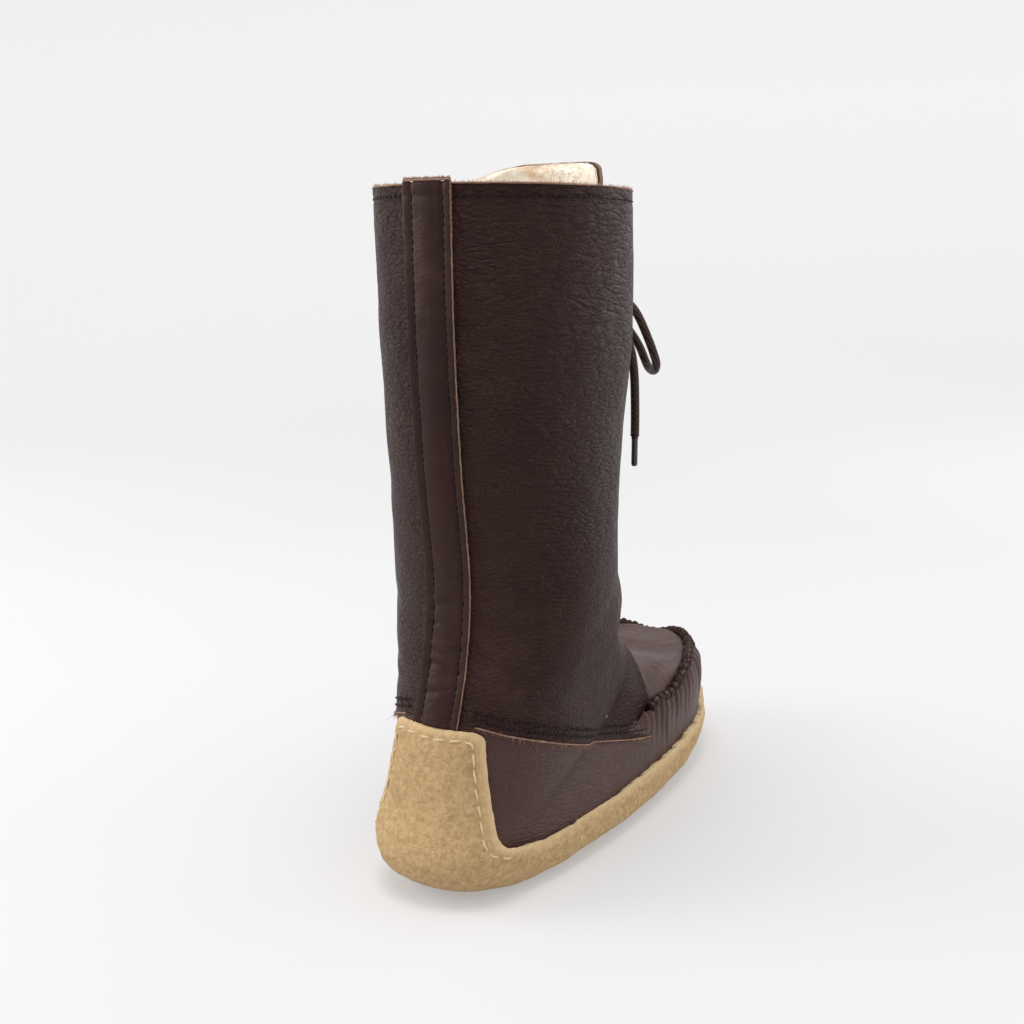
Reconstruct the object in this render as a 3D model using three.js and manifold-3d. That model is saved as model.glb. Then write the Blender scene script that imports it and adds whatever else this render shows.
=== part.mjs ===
// A laced mukluk boot, right foot, with a moccasin lower in a crepe cup sole.
// Millimetres, +Z up, +Y to the toe, +X to the boot's right. The boot stands on z = 0.

import * as THREE from 'three';
import { mergeVertices } from 'three/addons/utils/BufferGeometryUtils.js';
import Module from 'manifold-3d';

const wasm = await Module();
wasm.setup();

// ---- driving dimensions ----------------------------------------------------------------

const collarHeight = 330;     // floor to the shaft's rim
const middleY = 9.3;          // middle of the sole's length, where the boot's origin goes
const gap = 0.3;              // between pieces that touch
const leather = 2;            // thickness of the hide
const lining = 9;             // depth of the inner fur surface below the shaft's skin
const lowerSkin = -leather;   // the moccasin lower runs one hide's thickness under the shaft
const lap = 10;               // how far the shaft laps over the lower
const soleSide = 3.5;         // the crepe band stands this far outside the shaft's skin
const soleUnder = 7.4;        // the crepe below the lower, before the flat tread is cut
const insole = { depth: 12, rear: -116, front: 134 };   // the footbed's top, below the lower's underside
const turnedMargin = 16;      // width of the lower's edge that is turned in under the foot

// The last: one row for each section, from the collar down to the heel and on to the toe.
// A section runs from a back or bottom point to a front or top point of the side outline.
const columns = ['backY', 'backZ', 'frontY', 'frontZ', 'half', 'widest', 'roundBack', 'roundFront', 'curve'];
const last = [
  [-121.0, 330.0, 12.5, 330.0, 57.0, 0.50, 2.2, 2.2, 0.0],
  [-119.0, 265.0, 16.5, 265.0, 56.5, 0.50, 2.2, 2.2, 0.0],
  [-114.0, 205.0, 8.0, 205.0, 54.2, 0.50, 2.2, 2.2, 0.0],
  [-107.0, 150.0, 3.0, 152.0, 54.4, 0.48, 2.2, 2.2, 0.0],
  [-111.0, 112.0, 19.5, 122.0, 52.3, 0.46, 2.2, 2.2, 0.0],
  [-121.5, 78.0, 30.5, 102.5, 46.6, 0.44, 2.2, 2.2, 0.0],
  [-129.5, 42.0, 45.0, 89.5, 46.8, 0.42, 2.2, 2.3, 0.0],
  [-135.5, 18.0, 55.0, 83.0, 40.5, 0.38, 2.6, 2.6, 0.0],
  [-106.0, 7.0, 66.0, 78.0, 44.5, 0.34, 3.0, 3.0, 0.0],
  [-55.0, 7.0, 76.0, 75.0, 49.8, 0.28, 3.5, 3.6, 0.0],
  [0.0, 7.0, 86.5, 72.0, 51.5, 0.26, 4.0, 4.2, 0.0],
  [51.0, 7.0, 98.5, 69.5, 51.0, 0.28, 4.0, 4.5, -0.8],
  [94.0, 8.0, 114.5, 68.5, 47.5, 0.32, 3.5, 4.4, -2.4],
  [123.0, 11.0, 131.5, 67.5, 40.5, 0.38, 3.0, 3.8, -4.8],
  [143.0, 16.0, 145.5, 65.0, 33.5, 0.42, 2.8, 3.0, -6.8],
  [154.0, 27.0, 153.5, 58.0, 18.0, 0.50, 2.2, 2.4, -8.0],
].map((row) => Object.fromEntries(columns.map((name, i) => [name, row[i]])));

// How finely the last is stepped: steps from each row to the next.
const fine = {
  stretches: [[0, 1], [1, 1], [2, 2], [3, 3], [4, 2], [5, 2], [6, 2], [7, 3], [8, 1], [9, 1],
    [10, 2], [11, 2], [12, 2], [13, 2], [14, 3]],
  quarter: 6,                 // steps in a quarter of a section's outline
};
const coarse = {              // for the loose pieces inside the boot
  stretches: [[0, 1], [1, 1], [2, 1], [3, 1], [4, 1], [5, 2], [6, 1], [7, 2], [8, 1], [9, 1],
    [10, 1], [11, 1], [12, 1], [13, 1], [14, 2]],
  quarter: 5,
};
const looseGap = 1;           // between the insole and the fur round it

// The shaft's raw lower edge, side view: along the heel and arch to the front corner.
const ledge = [
  { y: -160, z: 88 }, { y: -120, z: 87 }, { y: -108, z: 80 }, { y: -96, z: 75.3 }, { y: -78, z: 68.5 },
  { y: -50, z: 58.8 }, { y: -23, z: 50 }, { y: 1, z: 44 }, { y: 19, z: 40 }, { y: 40, z: 38 },
];
const wingReach = 57;         // the shaft's front edge, at the throat, plan view
const wingDrop = 35.5;        // how far that edge falls back by the sides
const wingHalf = 49.5;
const wingPower = 2.4;

// The apron on the forefoot: straight sides, then half an ellipse round the toes.
const apron = {
  rear: 20, start: 60, tip: 151, half: 46.5, lean: 8, leanFrom: 40, low: 46, ridge: 3.4, ridgeFrom: 34, ridgeSteps: 36,
};

// Crepe sole: height of the band's top edge along the boot, and the tab up the heel.
const bandEdge = [
  { y: -165, z: 24 }, { y: -104, z: 23.5 }, { y: -78, z: 22.8 }, { y: -20, z: 24 }, { y: 50, z: 25 },
  { y: 100, z: 25.5 }, { y: 135, z: 29 }, { y: 170, z: 34 },
];
const heelTab = [
  { z: 84, half: 23 }, { z: 82.5, half: 25.4 }, { z: 71, half: 27 }, { z: 57, half: 29.2 },
  { z: 47, half: 31.4 }, { z: 38, half: 33.6 }, { z: 31.5, half: 35.8 }, { z: 26.5, half: 38.4 },
  { z: 23, half: 43 },
];
const tabFront = -92;         // the heel tab's outline is cut back as far as this

const strip = { half: 11.75, thick: 1.8, bottom: 85, top: 331 };

// Tongue: its left and right edges by height. It stands a little to the left in the throat.
const tongueTop = 346;
const tongueThick = 6;
const tongueRows = [
  { z: 60, left: -26, right: 26 }, { z: 120, left: -31, right: 31 }, { z: 230, left: -36, right: 30 },
  { z: 300, left: -44, right: 28 }, { z: 330, left: -46, right: 28 }, { z: 337, left: -40, right: 28 },
  { z: 342.5, left: -31, right: 26.5 }, { z: 345, left: -22, right: 23 }, { z: tongueTop, left: -10, right: 16 },
];

// Throat of the shaft, and the eyelets beside it.
const throat = { bottom: 11, top: 16, from: 70 };
const eyelet = {
  pairs: 5, low: 118, high: 282, aside: 9, ring: 4.4, bore: 2.6, barrel: 3.2, shank: 3, rim: 0.9, stand: 0.8, clear: 1.2,
};
const laceRadius = 2.3;
const agletRadius = 1.7;
const agletLength = 16;
const sides = { small: 8, run: 6 };   // of a cord's or eyelet's outline, and of a lace's run
const mouthHeight = eyelet.stand + eyelet.rim + eyelet.clear + laceRadius;   // a lace's middle, over the skin

// ---- solids ---------------------------------------------------------------------------

function solid(geometry) {
  const plain = geometry.clone();
  plain.deleteAttribute('normal');
  plain.deleteAttribute('uv');
  const merged = mergeVertices(plain, 1e-4);
  const vertProperties = new Float32Array(merged.attributes.position.array);
  const triVerts = new Uint32Array(merged.index.array);
  return new wasm.Manifold(new wasm.Mesh({ numProp: 3, vertProperties, triVerts }));
}

function geometryOf(manifold) {
  const mesh = manifold.getMesh();
  const geometry = new THREE.BufferGeometry();
  geometry.setAttribute('position', new THREE.BufferAttribute(mesh.vertProperties, 3));
  geometry.setIndex(new THREE.BufferAttribute(mesh.triVerts, 1));
  geometry.computeVertexNormals();
  return geometry;
}

// A closed solid through rings of points that all have the same count.
function loft(rings) {
  const count = rings[0].length;
  const points = rings.flat();
  const faces = [];
  for (let i = 0; i + 1 < rings.length; i += 1) {
    for (let j = 0; j < count; j += 1) {
      const here = i * count + j;
      const next = i * count + ((j + 1) % count);
      faces.push(here, next, next + count, here, next + count, here + count);
    }
  }
  for (const [ring, flip] of [[0, true], [rings.length - 1, false]]) {
    const middle = points.length;
    const centre = new THREE.Vector3();
    rings[ring].forEach((p) => centre.addScaledVector(p, 1 / count));
    points.push(centre);
    for (let j = 0; j < count; j += 1) {
      const here = ring * count + j;
      const next = ring * count + ((j + 1) % count);
      faces.push(...(flip ? [middle, next, here] : [middle, here, next]));
    }
  }
  const geometry = new THREE.BufferGeometry();
  geometry.setAttribute('position', new THREE.Float32BufferAttribute(points.flatMap((p) => p.toArray()), 3));
  geometry.setIndex(faces);
  const made = solid(geometry);
  return made.volume() > 0 ? made : solid(turned(geometry));
}

function turned(geometry) {
  const index = Array.from(geometry.index.array);
  for (let i = 0; i < index.length; i += 3) {
    [index[i + 1], index[i + 2]] = [index[i + 2], index[i + 1]];
  }
  geometry.setIndex(index);
  return geometry;
}

// ---- the last ---------------------------------------------------------------------------

function blend(a, b, c, d, u) {
  return 0.5 * (2 * b + (c - a) * u + (2 * a - 5 * b + 4 * c - d) * u * u + (3 * b - a - 3 * c + d) * u ** 3);
}

function section(t) {
  const i = Math.min(Math.floor(t), last.length - 2);
  const before = last[i - 1];
  const after = last[i + 2];
  const made = {};
  for (const name of columns) {
    const from = last[i][name];
    const to = last[i + 1][name];
    const a = before ? before[name] : 2 * from - to;
    const d = after ? after[name] : 2 * to - from;
    made[name] = blend(a, from, to, d, t - i);
  }
  return made;
}

function stations({ stretches }) {
  const list = stretches.flatMap(([start, steps]) => Array.from({ length: steps }, (_, k) => start + k / steps));
  return [...list, last.length - 1];
}

function step(edge0, edge1, value) {
  return THREE.MathUtils.smoothstep(value, edge0, edge1);
}

// Outward direction, in the side view, of the back outline or the front outline.
function outward(t, side) {
  const end = last.length - 1;
  if (t === 0) return new THREE.Vector2(side === 'back' ? -1 : 1, 0);
  if (t >= end) return new THREE.Vector2(1, 0);
  const a = section(Math.max(t - 0.2, 0));
  const b = section(Math.min(t + 0.2, end));
  const along = new THREE.Vector2(b[`${side}Y`] - a[`${side}Y`], b[`${side}Z`] - a[`${side}Z`]).normalize();
  return side === 'back' ? new THREE.Vector2(along.y, -along.x) : new THREE.Vector2(-along.y, along.x);
}

// One closed ring of the last, moved out by `out`, or by `under` along the sole.
function ring(t, out, under, quarter) {
  const s = section(t);
  const sole = step(6.7, 8, t) * (1 - step(13.6, 15, t));
  const down = THREE.MathUtils.lerp(out, under, sole);
  const back = new THREE.Vector2(s.backY, s.backZ).addScaledVector(outward(t, 'back'), down);
  const front = new THREE.Vector2(s.frontY, s.frontZ).addScaledVector(outward(t, 'front'), out);
  const half = s.half + out;
  const side = [];
  for (let k = 0; k <= 2 * quarter; k += 1) {
    const angle = (Math.PI / 2) * (k / quarter);
    const lower = k <= quarter;
    const power = 2 / (lower ? s.roundBack : s.roundFront);
    const c = Math.abs(Math.cos(angle)) ** power;
    const across = half * Math.abs(Math.sin(angle)) ** power;
    const share = lower ? s.widest * (1 - c) : s.widest + (1 - s.widest) * c;
    side.push({ across, share });
  }
  const round = [...side, ...side.slice(1, -1).reverse().map((p) => ({ across: -p.across, share: p.share }))];
  return round.map(({ across, share }) => {
    const at = back.clone().lerp(front, share);
    return new THREE.Vector3(across + s.curve, at.x, at.y);
  });
}

// The whole last as a solid, moved out by `out`. `rise` carries its top on above the collar.
function skin(out, under = out, rise = 0, detail = fine) {
  const rings = stations(detail).map((t) => ring(t, out, under, detail.quarter));
  if (rise) rings.unshift(rings[0].map((p) => p.clone().setZ(p.z + rise)));
  return loft(rings);
}

// ---- cutting shapes -------------------------------------------------------------------

const wide = 400;
const footTop = 130;          // above all of the forefoot

function prism(points, depth) {
  const shape = new THREE.Shape(points.map(([x, y]) => new THREE.Vector2(x, y)));
  return new THREE.ExtrudeGeometry(shape, { depth, bevelEnabled: false, steps: 1 });
}

// Points of the side view are (y, z), of the plan (x, y), of the rear view (x, z).
function sidePrism(points) {
  const turn = new THREE.Matrix4().makeBasis(
    new THREE.Vector3(0, 1, 0), new THREE.Vector3(0, 0, 1), new THREE.Vector3(1, 0, 0));
  return solid(prism(points, wide).applyMatrix4(turn).translate(-wide / 2, 0, 0));
}

function planPrism(points, low = -50, high = 400) {
  return solid(prism(points, high - low).translate(0, 0, low));
}

function rearPrism(points, fromY, toY) {
  return solid(prism(points, toY - fromY).rotateX(Math.PI / 2).translate(0, toY, 0));
}

// Everything below a line of the side view.
function below(line, shift = 0) {
  const points = line.map(({ y, z }) => [y, z + shift]);
  return sidePrism([[line[0].y, -60], ...points, [line.at(-1).y, -60]].reverse());
}

function wingEdge(x) {
  return wingReach - wingDrop * Math.min(Math.abs(x) / wingHalf, 1.15) ** wingPower;
}

// Plan view of everything behind the shaft's front edge.
function behindWing() {
  const edge = [];
  for (let x = -64; x <= 64; x += 8) edge.push([x, wingEdge(x)]);
  return planPrism([[-64, -200], [64, -200], ...edge.reverse()]);
}

// The lower's upper edge, hidden under the shaft, a lap's width inside the shaft's edge.
const lapLine = [
  ...ledge.filter(({ y }) => y < 0).map(({ y, z }) => ({ y, z: z + lap })),
  { y: 10, z: 54 }, { y: 21, z: 64 }, { y: 33, z: 79 }, { y: 43, z: 96 }, { y: 60, z: 110 }, { y: 190, z: 110 },
];

function apronCentre(y) {
  return -apron.lean * step(apron.leanFrom, apron.tip, y);
}

// Right and left edges of the apron in plan, moved out by `out`.
function apronEdge(out, from = apron.rear) {
  const long = apron.tip - apron.start;
  const round = Array.from({ length: 12 }, (_, k) => (Math.PI / 2) * (k / 11));
  const right = round.map((a) => {
    const y = apron.start + (long + out) * Math.sin(a);
    return [apronCentre(y) + (apron.half + out) * Math.cos(a), y];
  });
  const left = round.slice(0, -1).reverse().map((a) => {
    const y = apron.start + (long + out) * Math.sin(a);
    return [apronCentre(y) - (apron.half + out) * Math.cos(a), y];
  });
  return [[apron.half + out, from], ...right, ...left, [-apron.half - out, from]];
}

// ---- pieces ---------------------------------------------------------------------------

const hollow = skin(-lining, -2 * leather, 40);

function makeLower() {
  const opening = skin(-turnedMargin - leather, gap + leather, 0);
  const wall = skin(lowerSkin).subtract(hollow).subtract(opening);
  return wall.intersect(below(lapLine)).subtract(planPrism(apronEdge(gap / 2), apron.low, footTop));
}

function makeApron() {
  const wall = skin(lowerSkin).subtract(hollow);
  return wall.intersect(below(lapLine)).intersect(planPrism(apronEdge(-gap / 2), apron.low + gap, footTop));
}

function makeShaft() {
  const wall = skin(0).subtract(hollow);
  const above = sidePrism([...ledge.map(({ y, z }) => [y, z]), [80, 38], [80, 400], [-160, 400]]);
  const covered = skin(lowerSkin + gap).intersect(below(lapLine, gap));
  const slot = rearPrism([
    [-throat.bottom, throat.from], [throat.bottom, throat.from],
    [throat.top, collarHeight + 20], [-throat.top, collarHeight + 20],
  ], -20, 90);
  return wall.intersect(above).intersect(behindWing()).subtract(covered).subtract(slot);
}

function makeStrip() {
  const { half, thick, bottom, top } = strip;
  const area = rearPrism([[-half, bottom], [half, bottom], [half, top], [-half, top]], -170, -80);
  return skin(gap + thick, gap + thick, top - collarHeight).subtract(skin(gap, gap, 10)).intersect(area);
}

function makeTongue() {
  const depth = lining + gap;
  const outer = skin(-depth, -2 * leather, tongueTop - collarHeight);
  const inner = skin(-depth - tongueThick, -2 * leather, tongueTop);
  const right = tongueRows.map(({ z, right: x }) => [x, z]);
  const left = tongueRows.map(({ z, left: x }) => [x, z]).reverse();
  const front = rearPrism([...right, ...left], -24, 50);
  return outer.subtract(inner).intersect(front);
}

function makeInsole() {
  const bed = skin(-lining - looseGap, -2 * leather - looseGap, 0, coarse);
  const room = skin(-lining + looseGap, -insole.depth, 0, coarse);
  const area = sidePrism([[insole.rear, -10], [insole.front, -10], [insole.front, 40], [insole.rear, 40]]);
  return bed.subtract(room).intersect(area);
}

function makeOutsole() {
  const body = skin(soleSide, soleUnder).subtract(skin(lowerSkin + gap));
  const band = below(bandEdge);
  const right = heelTab.map(({ z, half }) => [half, z]).reverse();
  const left = heelTab.map(({ z, half }) => [-half, z]);
  const tab = rearPrism([[42, 10], ...right, ...left, [-42, 10]], -170, tabFront);
  const tread = sidePrism([[-200, 0], [200, 0], [200, 120], [-200, 120]]);
  return body.intersect(band.add(tab.intersect(below(ledge, -gap)))).intersect(tread);
}

// ---- the lower's puckered ridge, and the lacing -------------------------------------------

// The point on the front of the skin at height z, x to the side.
function frontPoint(x, z, out) {
  let low = 0;
  let high = 7;
  for (let k = 0; k < 40; k += 1) {
    const t = (low + high) / 2;
    if (skinAt(t, x, out).z > z) low = t;
    else high = t;
  }
  return skinAt((low + high) / 2, x, out);
}

// The point of section t, on its front half, that lies x to the side.
function skinAt(t, x, out) {
  const s = section(t);
  const front = new THREE.Vector2(s.frontY, s.frontZ).addScaledVector(outward(t, 'front'), out);
  const back = new THREE.Vector2(s.backY, s.backZ).addScaledVector(outward(t, 'back'), out);
  const aside = Math.min(Math.abs(x - s.curve) / (s.half + out), 1);
  const share = s.widest + (1 - s.widest) * (1 - aside ** s.roundFront) ** (1 / s.roundFront);
  const at = back.lerp(front, share);
  return new THREE.Vector3(x, at.x, at.y);
}

// The point of the forefoot's skin straight above a place in plan.
function topPoint(x, y, out) {
  let low = 3;
  let high = last.length - 1;
  for (let k = 0; k < 40; k += 1) {
    const t = (low + high) / 2;
    if (skinAt(t, x, out).y < y) low = t;
    else high = t;
  }
  return skinAt((low + high) / 2, x, out);
}

function tube(points, radius, sides, steps, tension = 0.5) {
  const path = new THREE.CatmullRomCurve3(points, false, 'catmullrom', tension);
  const round = Array.from({ length: sides }, (_, k) => {
    const angle = (2 * Math.PI * k) / sides;
    return new THREE.Vector2(radius * Math.cos(angle), radius * Math.sin(angle));
  });
  return new THREE.ExtrudeGeometry(new THREE.Shape(round), { steps, extrudePath: path, bevelEnabled: false });
}

function makeRidge() {
  const plan = apronEdge(-1, apron.ridgeFrom).filter(([, y]) => y >= apron.ridgeFrom);
  const points = plan.map(([x, y]) => topPoint(x, y, lowerSkin + 0.6));
  return solid(tube(points, apron.ridge, sides.run, apron.ridgeSteps)).subtract(skin(lowerSkin + gap)).subtract(makeShaftEnvelope());
}

function makeShaftEnvelope() {
  return behindWing().translate(0, gap, 0).intersect(skin(gap));
}

// Half the throat's width at a height, and the eyelets' places beside it.
function throatHalf(z) {
  return THREE.MathUtils.mapLinear(z, throat.from, collarHeight + 20, throat.bottom, throat.top);
}

function eyeletPlaces() {
  return Array.from({ length: eyelet.pairs }, (_, k) => {
    const z = THREE.MathUtils.lerp(eyelet.low, eyelet.high, k / (eyelet.pairs - 1));
    return [-1, 1].map((side) => {
      const x = side * (throatHalf(z) + eyelet.aside);
      const at = frontPoint(x, z, 0);
      const alongX = frontPoint(x + 1, z, 0).sub(frontPoint(x - 1, z, 0));
      const alongZ = frontPoint(x, z + 2, 0).sub(frontPoint(x, z - 2, 0));
      const normal = alongZ.cross(alongX).normalize();
      if (normal.y < 0) normal.negate();
      return { at, normal, side, pair: k + 1 };
    });
  }).flat();
}

// Turns a shape made along +Z to stand on the skin at an eyelet's place.
function standOn(geometry, { at, normal }) {
  const turn = new THREE.Quaternion().setFromUnitVectors(new THREE.Vector3(0, 0, 1), normal);
  return geometry.applyQuaternion(turn).translate(at.x, at.y, at.z);
}

function makeEyelet(place) {
  const { ring: flange, bore, barrel, shank, rim, stand: low } = eyelet;
  const profile = [
    [bore, -shank], [barrel, -shank], [barrel, low], [flange, low], [flange - 0.5, low + rim], [bore, low + rim],
    [bore, -shank],
  ].map(([r, z]) => new THREE.Vector2(r, z));
  const body = new THREE.LatheGeometry(profile, sides.small).rotateX(Math.PI / 2);
  return standOn(body, place);
}

function eyeletHoles() {
  const hole = () => new THREE.CylinderGeometry(eyelet.barrel + gap, eyelet.barrel + gap, lining * 2 + 8, sides.small)
    .rotateX(Math.PI / 2);
  return eyeletPlaces().map((place) => solid(standOn(hole(), place))).reduce((all, one) => all.add(one));
}

function mouth({ at, normal }) {
  return at.clone().addScaledVector(normal, mouthHeight);
}

// One run of the lace: out of an eyelet, across the throat, and down beside the far facing.
function crossingRun(place, nextHeight) {
  const { at, side } = place;
  const end = nextHeight - eyelet.ring;
  const edge = throatHalf(at.z);
  const turn = throatHalf(end) - laceRadius - 2 * gap;
  const height = (share) => THREE.MathUtils.lerp(at.z, end, share);
  return [
    mouth(place),
    frontPoint(side * edge, height(0.26), laceRadius + 4 * gap),
    frontPoint(0, height(0.6), laceRadius / 2),
    frontPoint(-side * turn, height(1), -lining / 2),
  ];
}

// The bow, right-hand side, hanging from the knot. The left side mirrors it.
const knot = { x: 0, y: 24.5, z: 279, halfX: 7, halfY: 5, halfZ: 6 };
const loopRoute = [
  [8.2, 26, 281], [13, 27.5, 281], [20, 28.6, 279.5], [26, 28.6, 276], [31, 27.4, 272], [35.2, 25.4, 267.3],
  [38.8, 24, 261.7], [41.6, 24, 255.8], [43.2, 26, 249.8], [43.2, 30, 244.2], [40.8, 34.6, 240.3],
  [37, 39.2, 239.2], [33, 42.8, 240.8], [30.2, 43.9, 245.2], [28.4, 42.5, 250.4], [25.8, 40.4, 256.2],
  [21.6, 37.8, 262.6], [16, 34.6, 268.6], [10.6, 31.4, 273.4], [7.2, 29.2, 275.8],
];
const endRoute = [
  [7.2, 23, 275.4], [10, 22.7, 274.3], [13.5, 22.3, 272.8], [17.5, 21.8, 270.9], [21, 21, 269], [24.2, 19.9, 266.5],
  [27.3, 18.8, 263.5], [30, 17.6, 260.4], [32.5, 16.5, 257], [34.6, 15.7, 252.6], [36.2, 15.2, 247.4],
  [37.2, 15.1, 241.2], [37.8, 15.1, 234.4], [38, 15.4, 226.4], [38, 16, 216.4], [37.6, 17, 206.4],
];
const agletTip = [36.7, 19, 190];
const leftSide = { reach: 0.94, drop: 1.08 };   // the left side hangs a little steeper

function toSide([x, y, z], side) {
  if (side > 0) return new THREE.Vector3(x, y, z);
  const grow = step(8, 30, x);
  const reach = THREE.MathUtils.lerp(1, leftSide.reach, grow);
  return new THREE.Vector3(-x * reach, y, knot.z + (z - knot.z) * THREE.MathUtils.lerp(1, leftSide.drop, grow));
}

function cord(route, side) {
  return tube(route.map((point) => toSide(point, side)), laceRadius, sides.small, Math.round(route.length * 0.8));
}

function makeAglet(side) {
  const start = toSide(endRoute.at(-1), side);
  const tip = toSide(agletTip, side);
  const along = tip.clone().sub(start).normalize();
  const body = new THREE.CylinderGeometry(agletRadius, agletRadius, agletLength, sides.small);
  const turn = new THREE.Quaternion().setFromUnitVectors(new THREE.Vector3(0, 1, 0), along);
  const middle = start.addScaledVector(along, gap + agletLength / 2);
  return body.applyQuaternion(turn).translate(middle.x, middle.y, middle.z);
}

function makeKnot() {
  const ball = new THREE.IcosahedronGeometry(1, 1).scale(knot.halfX, knot.halfY, knot.halfZ);
  return ball.translate(knot.x, knot.y, knot.z);
}

// The lace from one pair of eyelets to the next, one run over the other and joined.
function makeCrossing(pair, places) {
  const next = places.find((p) => p.pair === pair + 1).at.z;
  const [one, other] = places.filter((p) => p.pair === pair).map((p) => crossingRun(p, next));
  return solid(tube(one, laceRadius, sides.run, 5)).add(solid(tube(other, laceRadius, sides.run, 5)));
}

// The bar of lace between the lowest pair of eyelets, over the tongue and behind the facings' leather.
function makeLowBar() {
  const reach = throatHalf(eyelet.low) - 2 * gap;
  const depth = lining + gap - laceRadius - 2 * gap;
  const points = [-reach, 0, reach].map((x) => frontPoint(x, eyelet.low, -depth));
  return solid(tube(points, laceRadius, sides.run, 4));
}

// The short run from a top eyelet in to the knot.
function makeTopRun(places, side) {
  const start = mouth(places.find((p) => p.pair === eyelet.pairs && p.side === side));
  const end = new THREE.Vector3(side * (knot.halfX - 1), knot.y - knot.halfY - 1.5, knot.z);
  const middle = start.clone().lerp(end, 0.5).setY((start.y + end.y) / 2 + 0.8);
  return solid(tube([start, middle, end], laceRadius, sides.small, 3));
}

// ---- the boot -------------------------------------------------------------------------

const finishes = {
  hide: { color: 0x3b2a27, roughness: 0.62 },
  stripHide: { color: 0x3a2826, roughness: 0.5 },
  crepe: { color: 0xc9ac74, roughness: 0.9 },
  shearling: { color: 0xe2cda6, roughness: 1 },
  lace: { color: 0x33211d, roughness: 0.8 },
  aglet: { color: 0x1b1f1c, roughness: 0.35 },
  brass: { color: 0x6a5a3c, roughness: 0.4, metalness: 0.9 },
};

const boot = new THREE.Group();

function place(name, piece, finish) {
  const geometry = piece.isBufferGeometry ? piece : geometryOf(piece);
  const mesh = new THREE.Mesh(geometry, new THREE.MeshStandardMaterial(finishes[finish]));
  mesh.name = name;
  boot.add(mesh);
}

place('outsole', makeOutsole(), 'crepe');
place('upper', makeLower(), 'hide');
place('apron', makeApron(), 'hide');
place('shaft', makeShaft().subtract(eyeletHoles()), 'hide');
place('back_strip', makeStrip(), 'stripHide');
place('tongue', makeTongue(), 'hide');
place('insole', makeInsole(), 'shearling');
place('pucker_seam', makeRidge(), 'hide');

const places = eyeletPlaces();
for (const spot of places) {
  place(`eyelet_${spot.side < 0 ? 'left' : 'right'}_${spot.pair}`, makeEyelet(spot), 'brass');
}

place('lace_low_bar', makeLowBar(), 'lace');
for (let pair = 1; pair < eyelet.pairs; pair += 1) {
  place(`lace_cross_${pair}`, makeCrossing(pair, places), 'lace');
}
place('lace_knot', makeKnot(), 'lace');
for (const [side, name] of [[-1, 'left'], [1, 'right']]) {
  place(`lace_top_${name}`, makeTopRun(places, side), 'lace');
  place(`lace_loop_${name}`, cord(loopRoute, side), 'lace');
  place(`lace_end_${name}`, cord(endRoute, side), 'lace');
  place(`aglet_${name}`, makeAglet(side), 'aglet');
}

boot.position.y = -middleY;

export default boot;
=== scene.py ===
import math
import random
import bmesh
import bpy
import numpy as np
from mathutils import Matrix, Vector, noise
from mathutils.bvhtree import BVHTree


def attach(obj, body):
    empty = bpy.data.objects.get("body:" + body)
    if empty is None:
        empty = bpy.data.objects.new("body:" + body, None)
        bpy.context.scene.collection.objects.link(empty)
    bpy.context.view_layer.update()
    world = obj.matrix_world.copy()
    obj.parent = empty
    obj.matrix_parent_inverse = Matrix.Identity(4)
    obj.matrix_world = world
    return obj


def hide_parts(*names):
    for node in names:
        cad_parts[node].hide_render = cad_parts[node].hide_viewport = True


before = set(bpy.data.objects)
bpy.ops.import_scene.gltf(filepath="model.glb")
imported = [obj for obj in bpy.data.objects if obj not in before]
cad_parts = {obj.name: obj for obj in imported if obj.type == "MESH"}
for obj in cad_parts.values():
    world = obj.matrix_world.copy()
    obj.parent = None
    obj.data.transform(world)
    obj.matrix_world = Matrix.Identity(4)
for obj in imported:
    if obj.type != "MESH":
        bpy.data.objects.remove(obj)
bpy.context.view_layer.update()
print("frame loaded")

# A right mukluk boot. Its form is worked out in millimetres, +Y to the toe, and moved back by
# middleY into the frame. The pieces are leather, crepe, shearling, lace and bronze.
boot = {
    "middleY": 9.3, "collar": 330, "leather": 1.9, "lowerSkin": -2, "lining": 9,
    "soleSide": 3.5, "soleUnder": 7.4, "toeDome": 3, "pitch": 1.9,
}
# The last, from the collar to the toe. A row has backY, backZ, frontY, frontZ, the half width, the share of
# the depth where it is widest, how square its back and its front are, and the middle's shift in x.
last = np.array([
    [-121, 330, 12.5, 330, 57, 0.50, 2.2, 2.2, 0],      # collar
    [-119, 265, 16.5, 265, 56.5, 0.50, 2.2, 2.2, 0],
    [-114, 205, 8, 205, 54.2, 0.50, 2.2, 2.2, 0],
    [-107, 150, 3, 152, 54.4, 0.48, 2.2, 2.2, 0],       # ankle
    [-111, 112, 19.5, 122, 52.3, 0.46, 2.2, 2.2, 0],
    [-121.5, 78, 30.5, 102.5, 46.6, 0.44, 2.2, 2.2, 0],
    [-129.5, 42, 45, 89.5, 46.8, 0.42, 2.2, 2.3, 0],
    [-135.5, 18, 55, 83, 40.5, 0.38, 2.6, 2.6, 0],      # heel
    [-106, 7, 66, 78, 44.5, 0.34, 3, 3, 0],
    [-55, 7, 76, 75, 49.8, 0.28, 3.5, 3.6, 0],
    [0, 7, 86.5, 72, 51.5, 0.26, 4, 4.2, 0],            # ball
    [51, 7, 98.5, 69.5, 51, 0.28, 4, 4.5, -0.8],
    [94, 8, 114.5, 68.5, 47.5, 0.32, 3.5, 4.4, -2.4],
    [123, 11, 131.5, 67.5, 40.5, 0.38, 3, 3.8, -4.8],
    [143, 16, 145.5, 65, 33.5, 0.42, 2.8, 3, -6.8],
    [154, 27, 153.5, 58, 18, 0.50, 2.2, 2.4, -8],       # toe
])
ledge = [(-160, 88), (-120, 87), (-108, 80), (-96, 75.3), (-78, 68.5), (-50, 58.8), (-23, 50),
         (1, 44), (19, 40), (40, 38)]
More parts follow.
